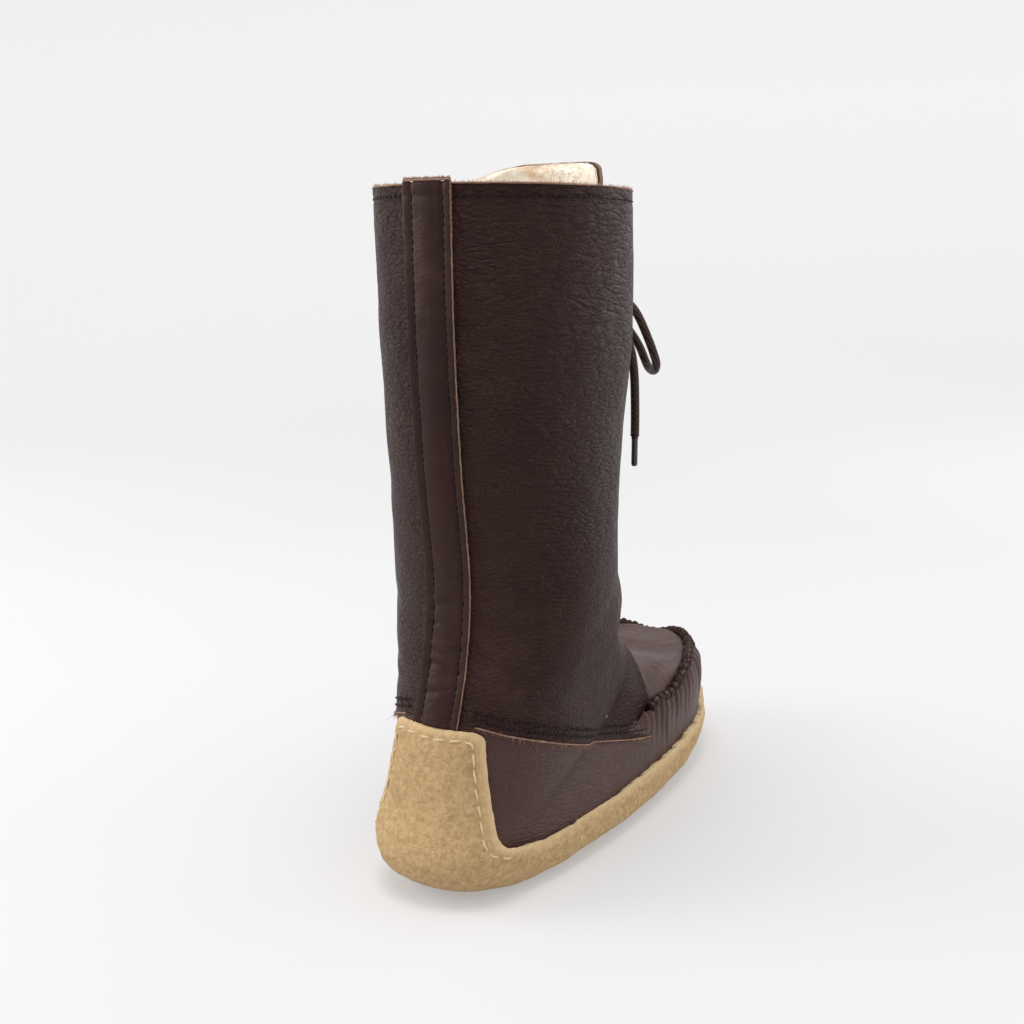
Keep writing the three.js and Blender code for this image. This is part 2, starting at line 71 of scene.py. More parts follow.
bandEdge = [(-165, 24), (-104, 23.5), (-78, 22.8), (-20, 24), (50, 25), (100, 25.5), (135, 29), (170, 34)]
heelTab = {"top": 84, "front": -92,
           "half": [(23, 43), (26.5, 38.4), (31.5, 35.8), (38, 33.6), (47, 31.4), (57, 29.2),
                    (71, 27), (82.5, 25.4), (84, 23)]}
wing = {"reach": 56, "drop": 34.5, "half": 49.5, "power": 1.75}
throat = {"bottom": 11, "top": 16, "from": 70, "to": 350}
apron = {"rear": 24, "start": 60, "tip": 151, "half": 46.5, "lean": 8, "leanFrom": 40}
eyelet = {"pairs": 5, "low": 118, "high": 282, "aside": 9, "ring": 4.4, "bore": 2.6, "barrel": 3.2,
          "rim": 0.9, "stand": 0.8, "clear": 1.2, "lip": 0.9, "deep": 3.0}
lace = {"radius": 2.3, "agletRadius": 1.7, "agletLength": 16}
chance = random.Random(7)


def addObject(name, data):
    thing = bpy.data.objects.new(name, data)
    bpy.context.collection.objects.link(thing)
    return thing


def setCamera():
    view = {"place": (0.3111, -0.5995, 0.2986), "down": 11.353, "turn": 29.827, "lens": 44.55, "sensor": 36}
    data = bpy.data.cameras.new("camera")
    data.lens = view["lens"]
    data.sensor_width = view["sensor"]
    camera = addObject("camera", data)
    camera.location = view["place"]
    camera.rotation_euler = (math.radians(90 - view["down"]), 0, math.radians(view["turn"]))
    bpy.context.scene.camera = camera


# The last, as the leather's own surface.
def stepUp(low, high, value):
    share = np.clip((np.asarray(value, float) - low) / (high - low), 0, 1)
    return share * share * (3 - 2 * share)


def smoothed(values, window, mode="edge", **how):
    weights = np.hanning(window) / np.hanning(window).sum()
    return np.convolve(np.pad(values, window // 2, mode=mode, **how), weights, "valid")


def along(table, value):
    # A smooth line through a table of pairs.
    knots = np.array(table, float)
    fine = np.linspace(knots[0, 0], knots[-1, 0], 400)
    line = np.interp(fine, knots[:, 0], knots[:, 1])
    return np.interp(value, fine, smoothed(line, 15, "reflect", reflect_type="odd"))


def ledgeAt(y):
    # The height of the shaft's lower edge.
    return along(ledge, np.clip(y, -160, 40))


def curveThrough(a, b, c, d, u):
    # The smooth curve from b to c by u, with a before and d after.
    return 0.5 * (2 * b + (c - a) * u + (2 * a - 5 * b + 4 * c - d) * u ** 2
                  + (3 * b - a - 3 * c + d) * u ** 3)


def lastAt(t):
    t = np.asarray(t, float)
    i = np.clip(np.floor(t).astype(int), 0, len(last) - 2)
    u = (t - i)[..., None]
    b, c = last[i], last[i + 1]
    a = np.where((i > 0)[..., None], last[np.maximum(i - 1, 0)], 2 * b - c)
    d = np.where((i < len(last) - 2)[..., None], last[np.minimum(i + 2, len(last) - 1)], 2 * c - b)
    return curveThrough(a, b, c, d, u)


def outward(t, front):
    end = len(last) - 1
    first = 2 if front else 0
    line = lastAt(np.minimum(t + 0.2, end)) - lastAt(np.maximum(t - 0.2, 0))
    run, rise = line[..., first], line[..., first + 1]
    size = np.hypot(run, rise)
    sign = -1 if front else 1
    normal = np.stack([sign * rise / size, -sign * run / size], -1)
    normal[t <= 0] = (-sign, 0)
    normal[t >= end] = (1, 0)
    return normal


def skin(t, turn, out, under=None):
    # A point of the last: t down from the collar to the toe, turn from the back (0) to the front (pi).
    t, turn = np.broadcast_arrays(np.asarray(t, float), np.asarray(turn, float))
    under = out if under is None else under
    backY, backZ, frontY, frontZ, half, widest, roundBack, roundFront, curve = np.moveaxis(lastAt(t), -1, 0)
    sole = stepUp(6.7, 8, t) * (1 - stepUp(13.6, 15, t))
    down = (out + (under - out) * sole)[..., None]
    back = np.stack([backY, backZ], -1) + outward(t, False) * down
    front = np.stack([frontY, frontZ], -1) + outward(t, True) * out
    angle = np.abs(turn)
    lower = angle <= math.pi / 2
    power = 2 / np.where(lower, roundBack, roundFront)
    c = np.abs(np.cos(angle)) ** power
    across = (half + out) * np.abs(np.sin(angle)) ** power * np.sign(turn)
    share = np.where(lower, widest * (1 - c), widest + (1 - widest) * c)[..., None]
    side = back + (front - back) * share
    return np.stack([across + curve, side[..., 0], side[..., 1]], -1)


def evenRows(first, end, pitch):
    t = np.linspace(first, end, 1500)
    steps = sum(np.linalg.norm(np.diff(skin(t, turn, 0), axis=0), axis=1) for turn in (0, 1.57, 3.14)) / 3
    run = np.concatenate([[0], np.cumsum(steps)])
    return np.interp(np.linspace(0, run[-1], max(int(run[-1] / pitch), 2) + 1), run, t)


def evenTurns(t, half, out):
    # For each row, turns that are evenly spaced round the section, with the distance from the back.
    fine = np.linspace(0, math.pi, 500)
    points = skin(t[:, None], fine[None, :], out)
    steps = np.linalg.norm(np.diff(points, axis=1), axis=2)
    run = np.concatenate([np.zeros((len(t), 1)), np.cumsum(steps, axis=1)], axis=1)
    turns, around = [], []
    for row in run:
        even = np.linspace(0, row[-1], half + 1)
        turn = np.interp(even, row, fine)
        turns.append(np.concatenate([-turn[:0:-1], turn]))
        around.append(np.concatenate([-even[:0:-1], even]))
    return np.array(turns), np.array(around)


def skinGrid(first, end, pitch, half, out, under=None):
    # Rows down the last, columns round it: x, y, z and the distance round from the back.
    t = evenRows(first, end, pitch)
    turns, around = evenTurns(t, half, out)
    points = skin(t[:, None], turns, out, under)
    return np.concatenate([points, around[..., None]], axis=2)


def domedToe(grid, bulge, rings=7):
    # Closes the toe with a low dome.
    edge = grid[-1]
    middle = edge.mean(axis=0)
    rows = [grid]
    for k in range(1, rings + 1):
        share = math.cos(math.pi / 2 * k / (rings + 0.15))
        ring = middle + (edge - middle) * share
        ring[:, 1] += bulge * (1 - share * share)
        rows.append(ring[None])
    return np.concatenate(rows)


def quads(rows, columns, closed=False):
    faces = []
    for i in range(rows - 1):
        for j in range(columns if closed else columns - 1):
            k = (j + 1) % columns
            faces.append((i * columns + j, (i + 1) * columns + j, (i + 1) * columns + k, i * columns + k))
    return faces


def castTree(out, under=None):
    grid = domedToe(skinGrid(0, 15, 2.2, 110, out, under), boot["toeDome"])[..., :3]
    return BVHTree.FromPolygons(grid.reshape(-1, 3).tolist(), quads(*grid.shape[:2]))


def sectionOut(t, x, out, front):
    rows = np.moveaxis(lastAt(t), -1, 0)
    half, widest, curve = rows[4], rows[5], rows[8]
    power = rows[7] if front else rows[6]
    back = rows[0:2].T + outward(t, False) * out
    fore = rows[2:4].T + outward(t, True) * out
    aside = np.minimum(np.abs(x - curve) / (half + out[:, 0]), 1)
    bow = (1 - aside ** power) ** (1 / power)
    share = (widest + (1 - widest) * bow if front else widest * (1 - bow))[:, None]
    at = back + (fore - back) * share
    return np.stack([x, at[:, 0], at[:, 1]], -1)


def skinPoints(x, z, out, front=True):
    # Points of the skin's front or back at given x and z. Above the collar it goes straight up.
    x, z, out = (np.array(v, float).ravel() for v in np.broadcast_arrays(x, z, out))
    out = out[:, None]
    wanted = np.minimum(z, boot["collar"] - 0.01)
    low, high = np.zeros(len(x)), np.full(len(x), 7.0)
    for _ in range(34):
        t = (low + high) / 2
        above = sectionOut(t, x, out, front)[:, 2] > wanted
        low, high = np.where(above, t, low), np.where(above, high, t)
    points = sectionOut((low + high) / 2, x, out, front)
    points[:, 2] = z
    return points


def skinLine(x, z, out, front=True, across=0.6, up=0.6):
    # Points of the skin with the way that it faces there. Across and up are the steps to its neighbours.
    points = skinPoints(x, z, out, front)
    beside = skinPoints(x + across, z, out, front) - points
    normals = np.cross(beside, skinPoints(x, z + up, out, front) - points)
    normals /= np.linalg.norm(normals, axis=1)[:, None]
    return points, np.where((normals[:, 1:2] > 0) == front, normals, -normals)


def throatHalf(z):
    share = (np.asarray(z, float) - throat["from"]) / (throat["to"] - throat["from"])
    return throat["bottom"] + (throat["top"] - throat["bottom"]) * share


def wingEdge(x):
    return wing["reach"] - wing["drop"] * np.minimum(np.abs(x) / wing["half"], 1.15) ** wing["power"]


def apronCentre(y):
    return -apron["lean"] * stepUp(apron["leanFrom"], apron["tip"], y)


def bumps(points, size, seed=0):
    return np.array([noise.noise(Vector((p[0] / size + seed, p[1] / size, p[2] / size))) for p in points])


# Making meshes.
def toFrame(points):
    return (np.asarray(points, float)[:, :3] - (0, boot["middleY"], 0)) * 0.001


def clip(grid, keep):
    # The part of a grid where keep is over nought, cut along its edge.
    rows, columns = keep.shape
    flat = grid.reshape(rows * columns, -1)
    values = keep.ravel()
    points, faces, used, cuts = [], [], {}, {}

    def corner(k):
        if k not in used:
            used[k] = len(points)
            points.append(flat[k])
        return used[k]

    def cut(a, b):
        key = (min(a, b), max(a, b))
        if key not in cuts:
            share = values[key[0]] / (values[key[0]] - values[key[1]])
            share = min(max(share, 0.08), 0.92)
            cuts[key] = len(points)
            points.append(flat[key[0]] + (flat[key[1]] - flat[key[0]]) * share)
        return cuts[key]

    inside = keep > 0
    whole = inside[:-1, :-1] & inside[1:, :-1] & inside[1:, 1:] & inside[:-1, 1:]
    some = inside[:-1, :-1] | inside[1:, :-1] | inside[1:, 1:] | inside[:-1, 1:]
    for i, j in zip(*np.nonzero(some)):
        ring = (i * columns + j, (i + 1) * columns + j, (i + 1) * columns + j + 1, i * columns + j + 1)
        if whole[i, j]:
            faces.append([corner(k) for k in ring])
            continue
        face = []
        for a, b in zip(ring, ring[1:] + ring[:1]):
            if values[a] > 0:
                face.append(corner(a))
            if (values[a] > 0) != (values[b] > 0):
                face.append(cut(a, b))
        if len(face) > 2:
            faces.append(face)
    return np.array(points), faces


def normalsOf(points, faces):
    normals = np.zeros((len(points), 3))
    for face in faces:
        a, b, c = points[face[0], :3], points[face[1], :3], points[face[2], :3]
        d = points[face[-1], :3]
        normal = np.cross(b - a, c - a) + np.cross(c - a, d - a)
        for k in face:
            normals[k] += normal
    return normals / np.maximum(np.linalg.norm(normals, axis=1), 1e-9)[:, None]


def meshPiece(name, points, faces, materials, marks=None):
    mesh = bpy.data.meshes.new(name)
    mesh.from_pydata(toFrame(points).tolist(), [], [list(map(int, face)) for face in faces])
    mesh.update()
    for material in materials:
        mesh.materials.append(material)
    mesh.shade_smooth()
    for label, values in (marks or {}).items():
        mesh.attributes.new(label, "FLOAT", "POINT").data.foreach_set("value", np.asarray(values, float))
    return addObject(name, mesh)


def faceTo(piece, axis, faces=slice(None), sign=1):
    # Turns the mesh over if these faces look the other way.
    if sign * sum(polygon.normal[axis] for polygon in piece.data.polygons[faces]) < 0:
        piece.data.flip_normals()


def shell(piece, thickness, offset=-1, rimSlot=0, insideSlot=0):
    # Gives a sheet its thickness, in millimetres.
    hard = piece.modifiers.new("shell", "SOLIDIFY")
    hard.thickness = thickness * 0.001
    hard.offset = offset
    hard.material_offset_rim = rimSlot
    hard.material_offset = insideSlot
    graph = bpy.context.evaluated_depsgraph_get()
    solid = bpy.data.meshes.new_from_object(piece.evaluated_get(graph))
    piece.modifiers.clear()
    piece.data = solid
    solid.name = piece.name
    return piece


def settle(piece, slot, *nodes):
    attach(piece, "root")
    if nodes:
        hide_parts(*nodes)
    print(piece.name, len(piece.data.polygons) if piece.type == "MESH" else "curve")
    return piece


def tubes(paths, radii, sides=8, tips=True, endShare=0.55):
    # Joined round tubes along lists of points; each has its radius or one for each point.
    points, faces = [], []
    for path, radius in zip(paths, radii):
        path = np.asarray(path, float)
        radius = np.broadcast_to(np.asarray(radius, float), (len(path),))
        ahead = np.gradient(path, axis=0)
        ahead /= np.maximum(np.linalg.norm(ahead, axis=1), 1e-9)[:, None]
        side = np.cross(ahead[0], (0.31, 0.22, 0.92))
        if np.linalg.norm(side) < 0.1:
            side = np.cross(ahead[0], (1, 0, 0))
        first = len(points)
        for p, a, r in zip(path, ahead, radius):
            side = side - a * np.dot(side, a)
            side /= np.linalg.norm(side)
            up = np.cross(a, side)
            for k in range(sides):
                angle = 2 * math.pi * k / sides
                points.append(p + r * (math.cos(angle) * side + math.sin(angle) * up))
        for i in range(len(path) - 1):
            for k in range(sides):
                here, beside = first + i * sides + k, first + i * sides + (k + 1) % sides
                faces.append((here, beside, beside + sides, here + sides))
        if tips:
            for row, way in ((0, -1), (len(path) - 1, 1)):
                tip = len(points)
                points.append(path[row] + ahead[row] * way * radius[row] * endShare)
                ring = first + row * sides
                for k in range(sides):
                    pair = (ring + k, ring + (k + 1) % sides)
                    faces.append((tip,) + (pair if way > 0 else pair[::-1]))
    return np.array(points), faces


def smoothPath(points, count):
    # Evenly spaced points of the smooth curve through the given ones.
    points = np.asarray(points, float)
    ends = np.concatenate([[2 * points[0] - points[1]], points, [2 * points[-1] - points[-2]]])
    fine = []
    for i in range(len(points) - 1):
        a, b, c, d = ends[i:i + 4]
        for u in np.linspace(0, 1, 24, endpoint=False):
            fine.append(curveThrough(a, b, c, d, u))
    fine.append(points[-1])
    return evenPath(np.array(fine), count)


def evenPath(line, count):
    run = np.concatenate([[0], np.cumsum(np.linalg.norm(np.diff(line, axis=0), axis=1))])
    even = np.linspace(0, run[-1], count)
    return np.stack([np.interp(even, run, line[:, k]) for k in range(line.shape[1])], -1)


# Helpers for shader nodes: each adds to the tree and gives back a socket.
def put(tree, kind, inputs=None, **settings):
    node = tree.nodes.new("ShaderNode" + kind)
    for key, value in settings.items():
        setattr(node, key, value)
    fill(tree, node, inputs or {})
    return node


def fill(tree, node, inputs):
    for key, value in inputs.items():
        if isinstance(value, bpy.types.NodeSocket):
            tree.links.new(value, node.inputs[key])
        else:
            node.inputs[key].default_value = value


def maths(tree, way, a, b=0.0):
    return put(tree, "Math", {0: a, 1: b}, operation=way).outputs[0]


def times(tree, a, b):
    return maths(tree, "MULTIPLY", a, b)


def plus(tree, total, *values):
    for value in values:
        total = maths(tree, "ADD", total, value)
    return total


def vectors(tree, way, a, b):
    return put(tree, "VectorMath", {0: a, 1: b}, operation=way).outputs[0]


def cloud(tree, place, scale, detail, rough=0.5, twist=0.0, output="Fac"):
    return put(tree, "TexNoise", {"Vector": place, "Scale": scale, "Detail": detail, "Roughness": rough,
                                  "Distortion": twist}).outputs[output]


def spread(tree, value, low, high, to0=0.0, to1=1.0, way="LINEAR"):
    return put(tree, "MapRange", {"Value": value, "From Min": low, "From Max": high, "To Min": to0,
                                  "To Max": to1}, interpolation_type=way).outputs["Result"]


def mixed(tree, share, a, b):
    node = put(tree, "Mix", {"Factor": share}, data_type="RGBA")
    for index, value in ((6, a), (7, b)):
        fill(tree, node, {index: value if isinstance(value, bpy.types.NodeSocket) else (*value, 1)})
    return node.outputs[2]


def group(name, inputs, outputs):
    tree = bpy.data.node_groups.new(name, "ShaderNodeTree")
    for label, kind, value in inputs:
        socket = tree.interface.new_socket(name=label, in_out="INPUT", socket_type="NodeSocket" + kind)
        if value is not None:
            socket.default_value = value
    for label in outputs:
        tree.interface.new_socket(name=label, in_out="OUTPUT", socket_type="NodeSocketFloat")
    return tree, tree.nodes.new("NodeGroupInput").outputs, tree.nodes.new("NodeGroupOutput").inputs


def use(tree, name, inputs):
    node = tree.nodes.new("ShaderNodeGroup")
    node.node_tree = bpy.data.node_groups[name]
    fill(tree, node, inputs)
    return node.outputs


def makeGroups():
    # Cells of a grained hide, longer along one way. Lean turns them up towards the toe.
    tree, given, made = group(
        "hideCells",
        [("Vector", "Vector", None), ("Size", "Float", 0.004), ("Flat", "Float", 2.0),
         ("Lean", "Float", 0.0), ("Wander", "Float", 0.5), ("Ahead", "Float", 0.55),
         ("Wide", "Float", 0.05)], ["Height", "Crack", "Crest"])
    scale = maths(tree, "DIVIDE", 1.0, given["Size"])
    drift = cloud(tree, given["Vector"], times(tree, scale, 0.42), 3.0, output="Color")
    drift = vectors(tree, "SUBTRACT", drift, (0.5, 0.5, 0.5))
    reach = times(tree, given["Wander"], times(tree, given["Size"], 2.0))
    drift = put(tree, "VectorMath", {0: drift, "Scale": reach}, operation="SCALE").outputs[0]
    moved = vectors(tree, "ADD", given["Vector"], drift)
    turned = put(tree, "VectorRotate", {"Vector": moved, "Angle": given["Lean"]}, rotation_type="X_AXIS")
    tall = put(tree, "CombineXYZ", {"X": 1.0, "Y": given["Ahead"], "Z": given["Flat"]})
    flat = vectors(tree, "MULTIPLY", turned.outputs[0], tall.outputs[0])
    gap = put(tree, "TexVoronoi", {"Vector": flat, "Scale": scale, "Randomness": 1.0},
              feature="DISTANCE_TO_EDGE").outputs["Distance"]
    pillow = spread(tree, gap, 0.0, 0.22, way="SMOOTHSTEP")
    crack = spread(tree, gap, given["Wide"], 0.0, way="SMOOTHSTEP")
    # The third output is a thin band just beside each crack; makeHide paints it lighter as a painted
    # highlight.
    near = spread(tree, gap, times(tree, given["Wide"], 2.6), given["Wide"], way="SMOOTHSTEP")
    crestHighlight = times(tree, near, maths(tree, "SUBTRACT", 1.0, crack))
    for label, value in (("Height", pillow), ("Crack", crack), ("Crest", crestHighlight)):
        tree.links.new(value, made[label])

    # Matted fibres, as on crepe, fur and raw edges.
    tree, given, made = group("fibres", [("Vector", "Vector", None), ("Size", "Float", 0.002)],
                              ["Height", "Patches"])
    scale = maths(tree, "DIVIDE", 1.0, given["Size"])
    tree.links.new(cloud(tree, given["Vector"], scale, 6.0, 0.65, 1.1), made["Height"])
    wide = cloud(tree, given["Vector"], times(tree, scale, 0.14), 4.0, twist=0.6)
    tree.links.new(wide, made["Patches"])

    # Dust and rubbed spots that come and go over a surface.
    tree, given, made = group(
        "wear", [("Vector", "Vector", None), ("Size", "Float", 0.03), ("Amount", "Float", 0.5)], ["Mask"])
    spots = cloud(tree, given["Vector"], maths(tree, "DIVIDE", 1.0, given["Size"]), 5.0, 0.6)
    low = maths(tree, "SUBTRACT", 0.78, times(tree, given["Amount"], 0.4))
    tree.links.new(spread(tree, spots, low, 0.85), made["Mask"])


def newMaterial(name, **shader):
    material = bpy.data.materials.new(name)
    material.use_nodes = True
    tree = material.node_tree
    tree.nodes.clear()
    surface = put(tree, "BsdfPrincipled")
    for key, value in shader.items():
        surface.inputs[key.replace("_", " ")].default_value = value
    put(tree, "OutputMaterial", {"Surface": surface.outputs[0]})
    return material, tree, surface, put(tree, "TexCoord").outputs["Object"]


def mark(tree, name):
    return put(tree, "Attribute", attribute_name=name).outputs["Fac"]


def dress(tree, surface, colour, rough, height, distance, strength=1.0):
    bump = put(tree, "Bump", {"Strength": strength, "Distance": distance, "Height": height})
    fill(tree, surface, {"Base Color": colour, "Roughness": rough, "Normal": bump.outputs["Normal"]})


# The near-black colour is painted shade in the cracks. The paler colour is used three ways: a painted
# highlight beside each crack, scuffed spots of real wear, and painted sheen along drawn streaks. The sheen
# entry tints the real specular reflection.
hideLook = {
    "crackShade": (0.0040, 0.0016, 0.0014), "mid": (0.0225, 0.0092, 0.0076), "paleTone": (0.088, 0.047, 0.038),
    "sheen": (1.0, 0.80, 0.76, 1),
    "cells": {
        "long": {"Size": 0.0105, "Flat": 2.7, "Lean": -0.05, "Wander": 0.26, "Ahead": 0.5, "Wide": 0.04},
        "short": {"Size": 0.0056, "Flat": 2.6, "Lean": 0.08, "Wander": 0.35, "Ahead": 0.6, "Wide": 0.07},
        "lines": {"Size": 0.0075, "Flat": 4.6, "Lean": -0.85, "Wander": 0.35, "Ahead": 1.0, "Wide": 0.08},
        "pebble": {"Size": 0.0013, "Flat": 1.4, "Lean": 0.0, "Wander": 0.5, "Ahead": 1.0},
    },
}


def makeHide(name, big=1.0, small=1.0, streak=1.0, tone=1.0, rough=0.42, bump=0.0009, gloss=0.15):
    # Dark brown hide. The marks "high", "drawn" and "plain" on a piece say where it has long creases,
    # drawn streaks and hardly any grain.
    look = hideLook
    material, tree, surface, place = newMaterial(name, Specular_IOR_Level=gloss)
    surface.inputs["Specular Tint"].default_value = look["sheen"]
    high, drawn = mark(tree, "high"), mark(tree, "drawn")
    cells = {kind: use(tree, "hideCells", {"Vector": place, **sizes})
             for kind, sizes in look["cells"].items()}
    calm = maths(tree, "MAXIMUM", times(tree, drawn, 0.85), mark(tree, "plain"))
    calm = maths(tree, "SUBTRACT", 1.0, calm)
    shorter = maths(tree, "SUBTRACT", 0.8 * small, times(tree, high, 0.4 * small))
    amounts = {"long": times(tree, high, big), "short": times(tree, calm, shorter),
               "lines": times(tree, drawn, 0.7 * streak)}
    height, crack, crestHighlight = (
        plus(tree, 0.0, *(times(tree, cells[kind][part], amount) for kind, amount in amounts.items()))
        for part in ("Height", "Crack", "Crest"))
    height = plus(tree, height, times(tree, cells["pebble"]["Height"], 0.15 * small),
                  times(tree, cloud(tree, place, 120.0, 3.0), 0.4))
    fade = spread(tree, cloud(tree, place, 90.0, 2.0), 0.38, 0.6)
    crack = maths(tree, "MINIMUM", times(tree, crack, plus(tree, 0.25, fade)), 1.0)
    # The band beside the cracks, faded at random, is painted lighter below as a painted highlight.
    crestHighlight = maths(tree, "MINIMUM", times(tree, crestHighlight, fade), 1.0)
    shade = cloud(tree, place, 22.0, 4.0, 0.6)
    paleTone = use(tree, "wear", {"Vector": place, "Size": 0.035, "Amount": 0.6})["Mask"]
    # Paler over scuffed spots of real wear, and paler along drawn streaks as painted sheen.
    wearAndSheen = plus(tree, times(tree, paleTone, 0.3), times(tree, drawn, 0.16))
    colour = mixed(tree, spread(tree, shade, 0.3, 0.75), *(
        tuple(c * change * tone for c in look["mid"]) for change in (0.84, 1.16)))
    # Cracks are mixed towards near-black as painted shade in the creases, and the band beside them towards
    # the paler colour as a painted highlight.
    for share, shown in ((times(tree, crack, 0.85), "crackShade"), (times(tree, crestHighlight, 0.28), "paleTone"),
                         (wearAndSheen, "paleTone")):
        colour = mixed(tree, share, colour, look[shown])
    rougher = plus(tree, spread(tree, shade, 0.3, 0.7, rough - 0.05, rough + 0.07), times(tree, crack, 0.25))
    dress(tree, surface, colour, rougher, height, bump)
    return material


def makeFibrous(name, low, high, size, bump, rough=0.9, spot=None, **shader):
    material, tree, surface, place = newMaterial(name, **shader)
    matted = use(tree, "fibres", {"Vector": place, "Size": size})
    share = plus(tree, times(tree, matted["Height"], 0.45), times(tree, matted["Patches"], 0.55))
    colour = mixed(tree, spread(tree, share, 0.35, 0.65), low, high)
    if spot:
        colour = mixed(tree, times(tree, spread(tree, matted["Patches"], 0.56, 0.7), 0.6), colour, spot)
    rougher = spread(tree, matted["Height"], 0.3, 0.7, rough - 0.06, rough + 0.06)
    dress(tree, surface, colour, rougher, matted["Height"], bump)
    return material


def makeCrepe():
    look = {"low": (0.345, 0.218, 0.096), "high": (0.55, 0.385, 0.195), "stain": (0.33, 0.20, 0.09),
            "pale": (0.68, 0.51, 0.30), "glow": (1.0, 0.55, 0.25), "bump": 0.0008}
    material, tree, surface, place = newMaterial("crepe", Specular_IOR_Level=0.3, Subsurface_Weight=0.08,
                                                 Subsurface_Scale=0.004)
    surface.inputs["Subsurface Radius"].default_value = look["glow"]
    matted = use(tree, "fibres", {"Vector": place, "Size": 0.0019})
    crinkle = put(tree, "TexVoronoi", {"Vector": place, "Scale": 420.0}, feature="SMOOTH_F1")
    lumps = cloud(tree, place, 330.0, 6.0, 0.62, 0.5)
    share = plus(tree, times(tree, matted["Height"], 0.4), times(tree, lumps, 0.6))
    colour = mixed(tree, spread(tree, share, 0.38, 0.64), look["low"], look["high"])
    colour = mixed(tree, spread(tree, matted["Patches"], 0.55, 0.75, 0.0, 0.4), colour, look["stain"])
    colour = mixed(tree, times(tree, mark(tree, "cut"), 0.6), colour, look["pale"])
    height = plus(tree, times(tree, matted["Height"], 0.9), times(tree, crinkle.outputs["Distance"], 0.25),
                  times(tree, lumps, 0.8))
    dress(tree, surface, colour, spread(tree, lumps, 0.3, 0.7, 0.72, 0.9), height, look["bump"])
    return material


def makeThread(name, low, high, rough, size=0.0011):
    # Twisted thread or braided lace: fine slanting strands.
    material, tree, surface, place = newMaterial(name, Specular_IOR_Level=0.2, Sheen_Weight=0.04)
    strands = put(tree, "TexWave", {"Vector": place, "Scale": 0.32 / size, "Distortion": 2.5, "Detail": 2.0,
                                    "Detail Scale": 3.0}, wave_type="BANDS",
                  bands_direction="DIAGONAL").outputs["Fac"]
    fluff = cloud(tree, place, 0.9 / size, 3.0)
    colour = mixed(tree, times(tree, strands, fluff), low, high)
    rougher = spread(tree, fluff, 0.3, 0.7, rough - 0.07, rough + 0.07)
    dress(tree, surface, colour, rougher, plus(tree, strands, fluff), size * 0.22, 0.8)
    return material


def makeBronze():
    material, tree, surface, place = newMaterial("agedBronze", Metallic=0.9)
    marks = cloud(tree, place, 900.0, 4.0)
    dull = use(tree, "wear", {"Vector": place, "Size": 0.004, "Amount": 0.8})["Mask"]
    colour = mixed(tree, dull, (0.30, 0.21, 0.11), (0.10, 0.075, 0.045))
    dress(tree, surface, colour, spread(tree, marks, 0.3, 0.7, 0.26, 0.46), marks, 0.00006, 0.5)
    return material


def makeAgletPlastic():
    material, tree, surface, place = newMaterial("agletPlastic", Coat_Weight=0.3, Coat_Roughness=0.2)
    marks = cloud(tree, place, 700.0, 3.0)
    colour = mixed(tree, spread(tree, marks, 0.35, 0.65), (0.006, 0.009, 0.008), (0.016, 0.021, 0.019))
    dress(tree, surface, colour, spread(tree, marks, 0.3, 0.7, 0.24, 0.38), marks, 0.00008, 0.4)
    return material


def makeFloorPaint():
    material, tree, surface, place = newMaterial("floorPaint", Specular_IOR_Level=0.2, Emission_Strength=0.3,
                                                 Roughness=0.75)
    near = mixed(tree, cloud(tree, place, 1.5, 2.0), (0.41, 0.408, 0.414), (0.43, 0.428, 0.434))
    level = vectors(tree, "MULTIPLY", place, (1.0, 1.0, 0.0))
    away = put(tree, "VectorMath", {0: level}, operation="LENGTH").outputs["Value"]
    colour = mixed(tree, spread(tree, away, 0.8, 3.0), near, (0.62, 0.617, 0.623))
    fill(tree, surface, {"Base Color": colour})
    return material


makeGroups()
hideShaft = makeHide("hideShaft")
# The lower's and the apron's copies are painted brighter (tone 1.8 and 2.1) as painted light, for the light
# that falls on the lower and on the upward-facing apron; the tongue reuses the lower's copy.
hideLowerLit = makeHide("hideLowerLit", big=0.4, small=0.55, streak=0.55, tone=1.8, bump=0.0006, gloss=0.4)
hideApronLit = makeHide("hideApronLit", big=0.2, small=0.35, tone=2.1, rough=0.44, bump=0.00025, gloss=0.35)
hideStrip = makeHide("hideStrip", big=0.25, small=0.25, tone=0.95, rough=0.42, bump=0.00022)
hideRidge = makeHide("hideRidge", big=0.2, small=1.0, tone=1.05, rough=0.52, bump=0.0004)
rawEdge = makeFibrous("rawEdge", (0.17, 0.085, 0.052), (0.36, 0.215, 0.14), 0.0009, 0.0004)
paleEdge = makeFibrous("paleEdge", (0.20, 0.108, 0.068), (0.40, 0.255, 0.175), 0.0009, 0.0004)
ridgeEdge = makeFibrous("ridgeEdge", (0.075, 0.036, 0.026), (0.18, 0.094, 0.066), 0.0009, 0.0004)
suede = makeFibrous("suede", (0.12, 0.075, 0.05), (0.24, 0.155, 0.11), 0.0012, 0.0003, Sheen_Weight=0.3)
crepe = makeCrepe()
crepeEdge = makeFibrous("crepeEdge", (0.50, 0.36, 0.19), (0.74, 0.58, 0.36), 0.0012, 0.0008)
shearling = makeFibrous("shearling", (0.93, 0.80, 0.60), (0.985, 0.965, 0.92), 0.0030, 0.0005, rough=0.95,
                        spot=(0.72, 0.46, 0.20), Sheen_Weight=0.3)
darkThread = makeThread("darkThread", (0.0035, 0.0018, 0.0018), (0.011, 0.006, 0.0055), 0.65)
redThread = makeThread("redThread", (0.030, 0.012, 0.009), (0.085, 0.038, 0.027), 0.62)
creamThread = makeThread("creamThread", (0.55, 0.42, 0.24), (0.80, 0.68, 0.46), 0.7)
laceCord = makeThread("laceCord", (0.016, 0.0065, 0.005), (0.085, 0.040, 0.031), 0.5, size=0.0014)
bronze = makeBronze()
agletPlastic = makeAgletPlastic()
print("materials made")

setCamera()

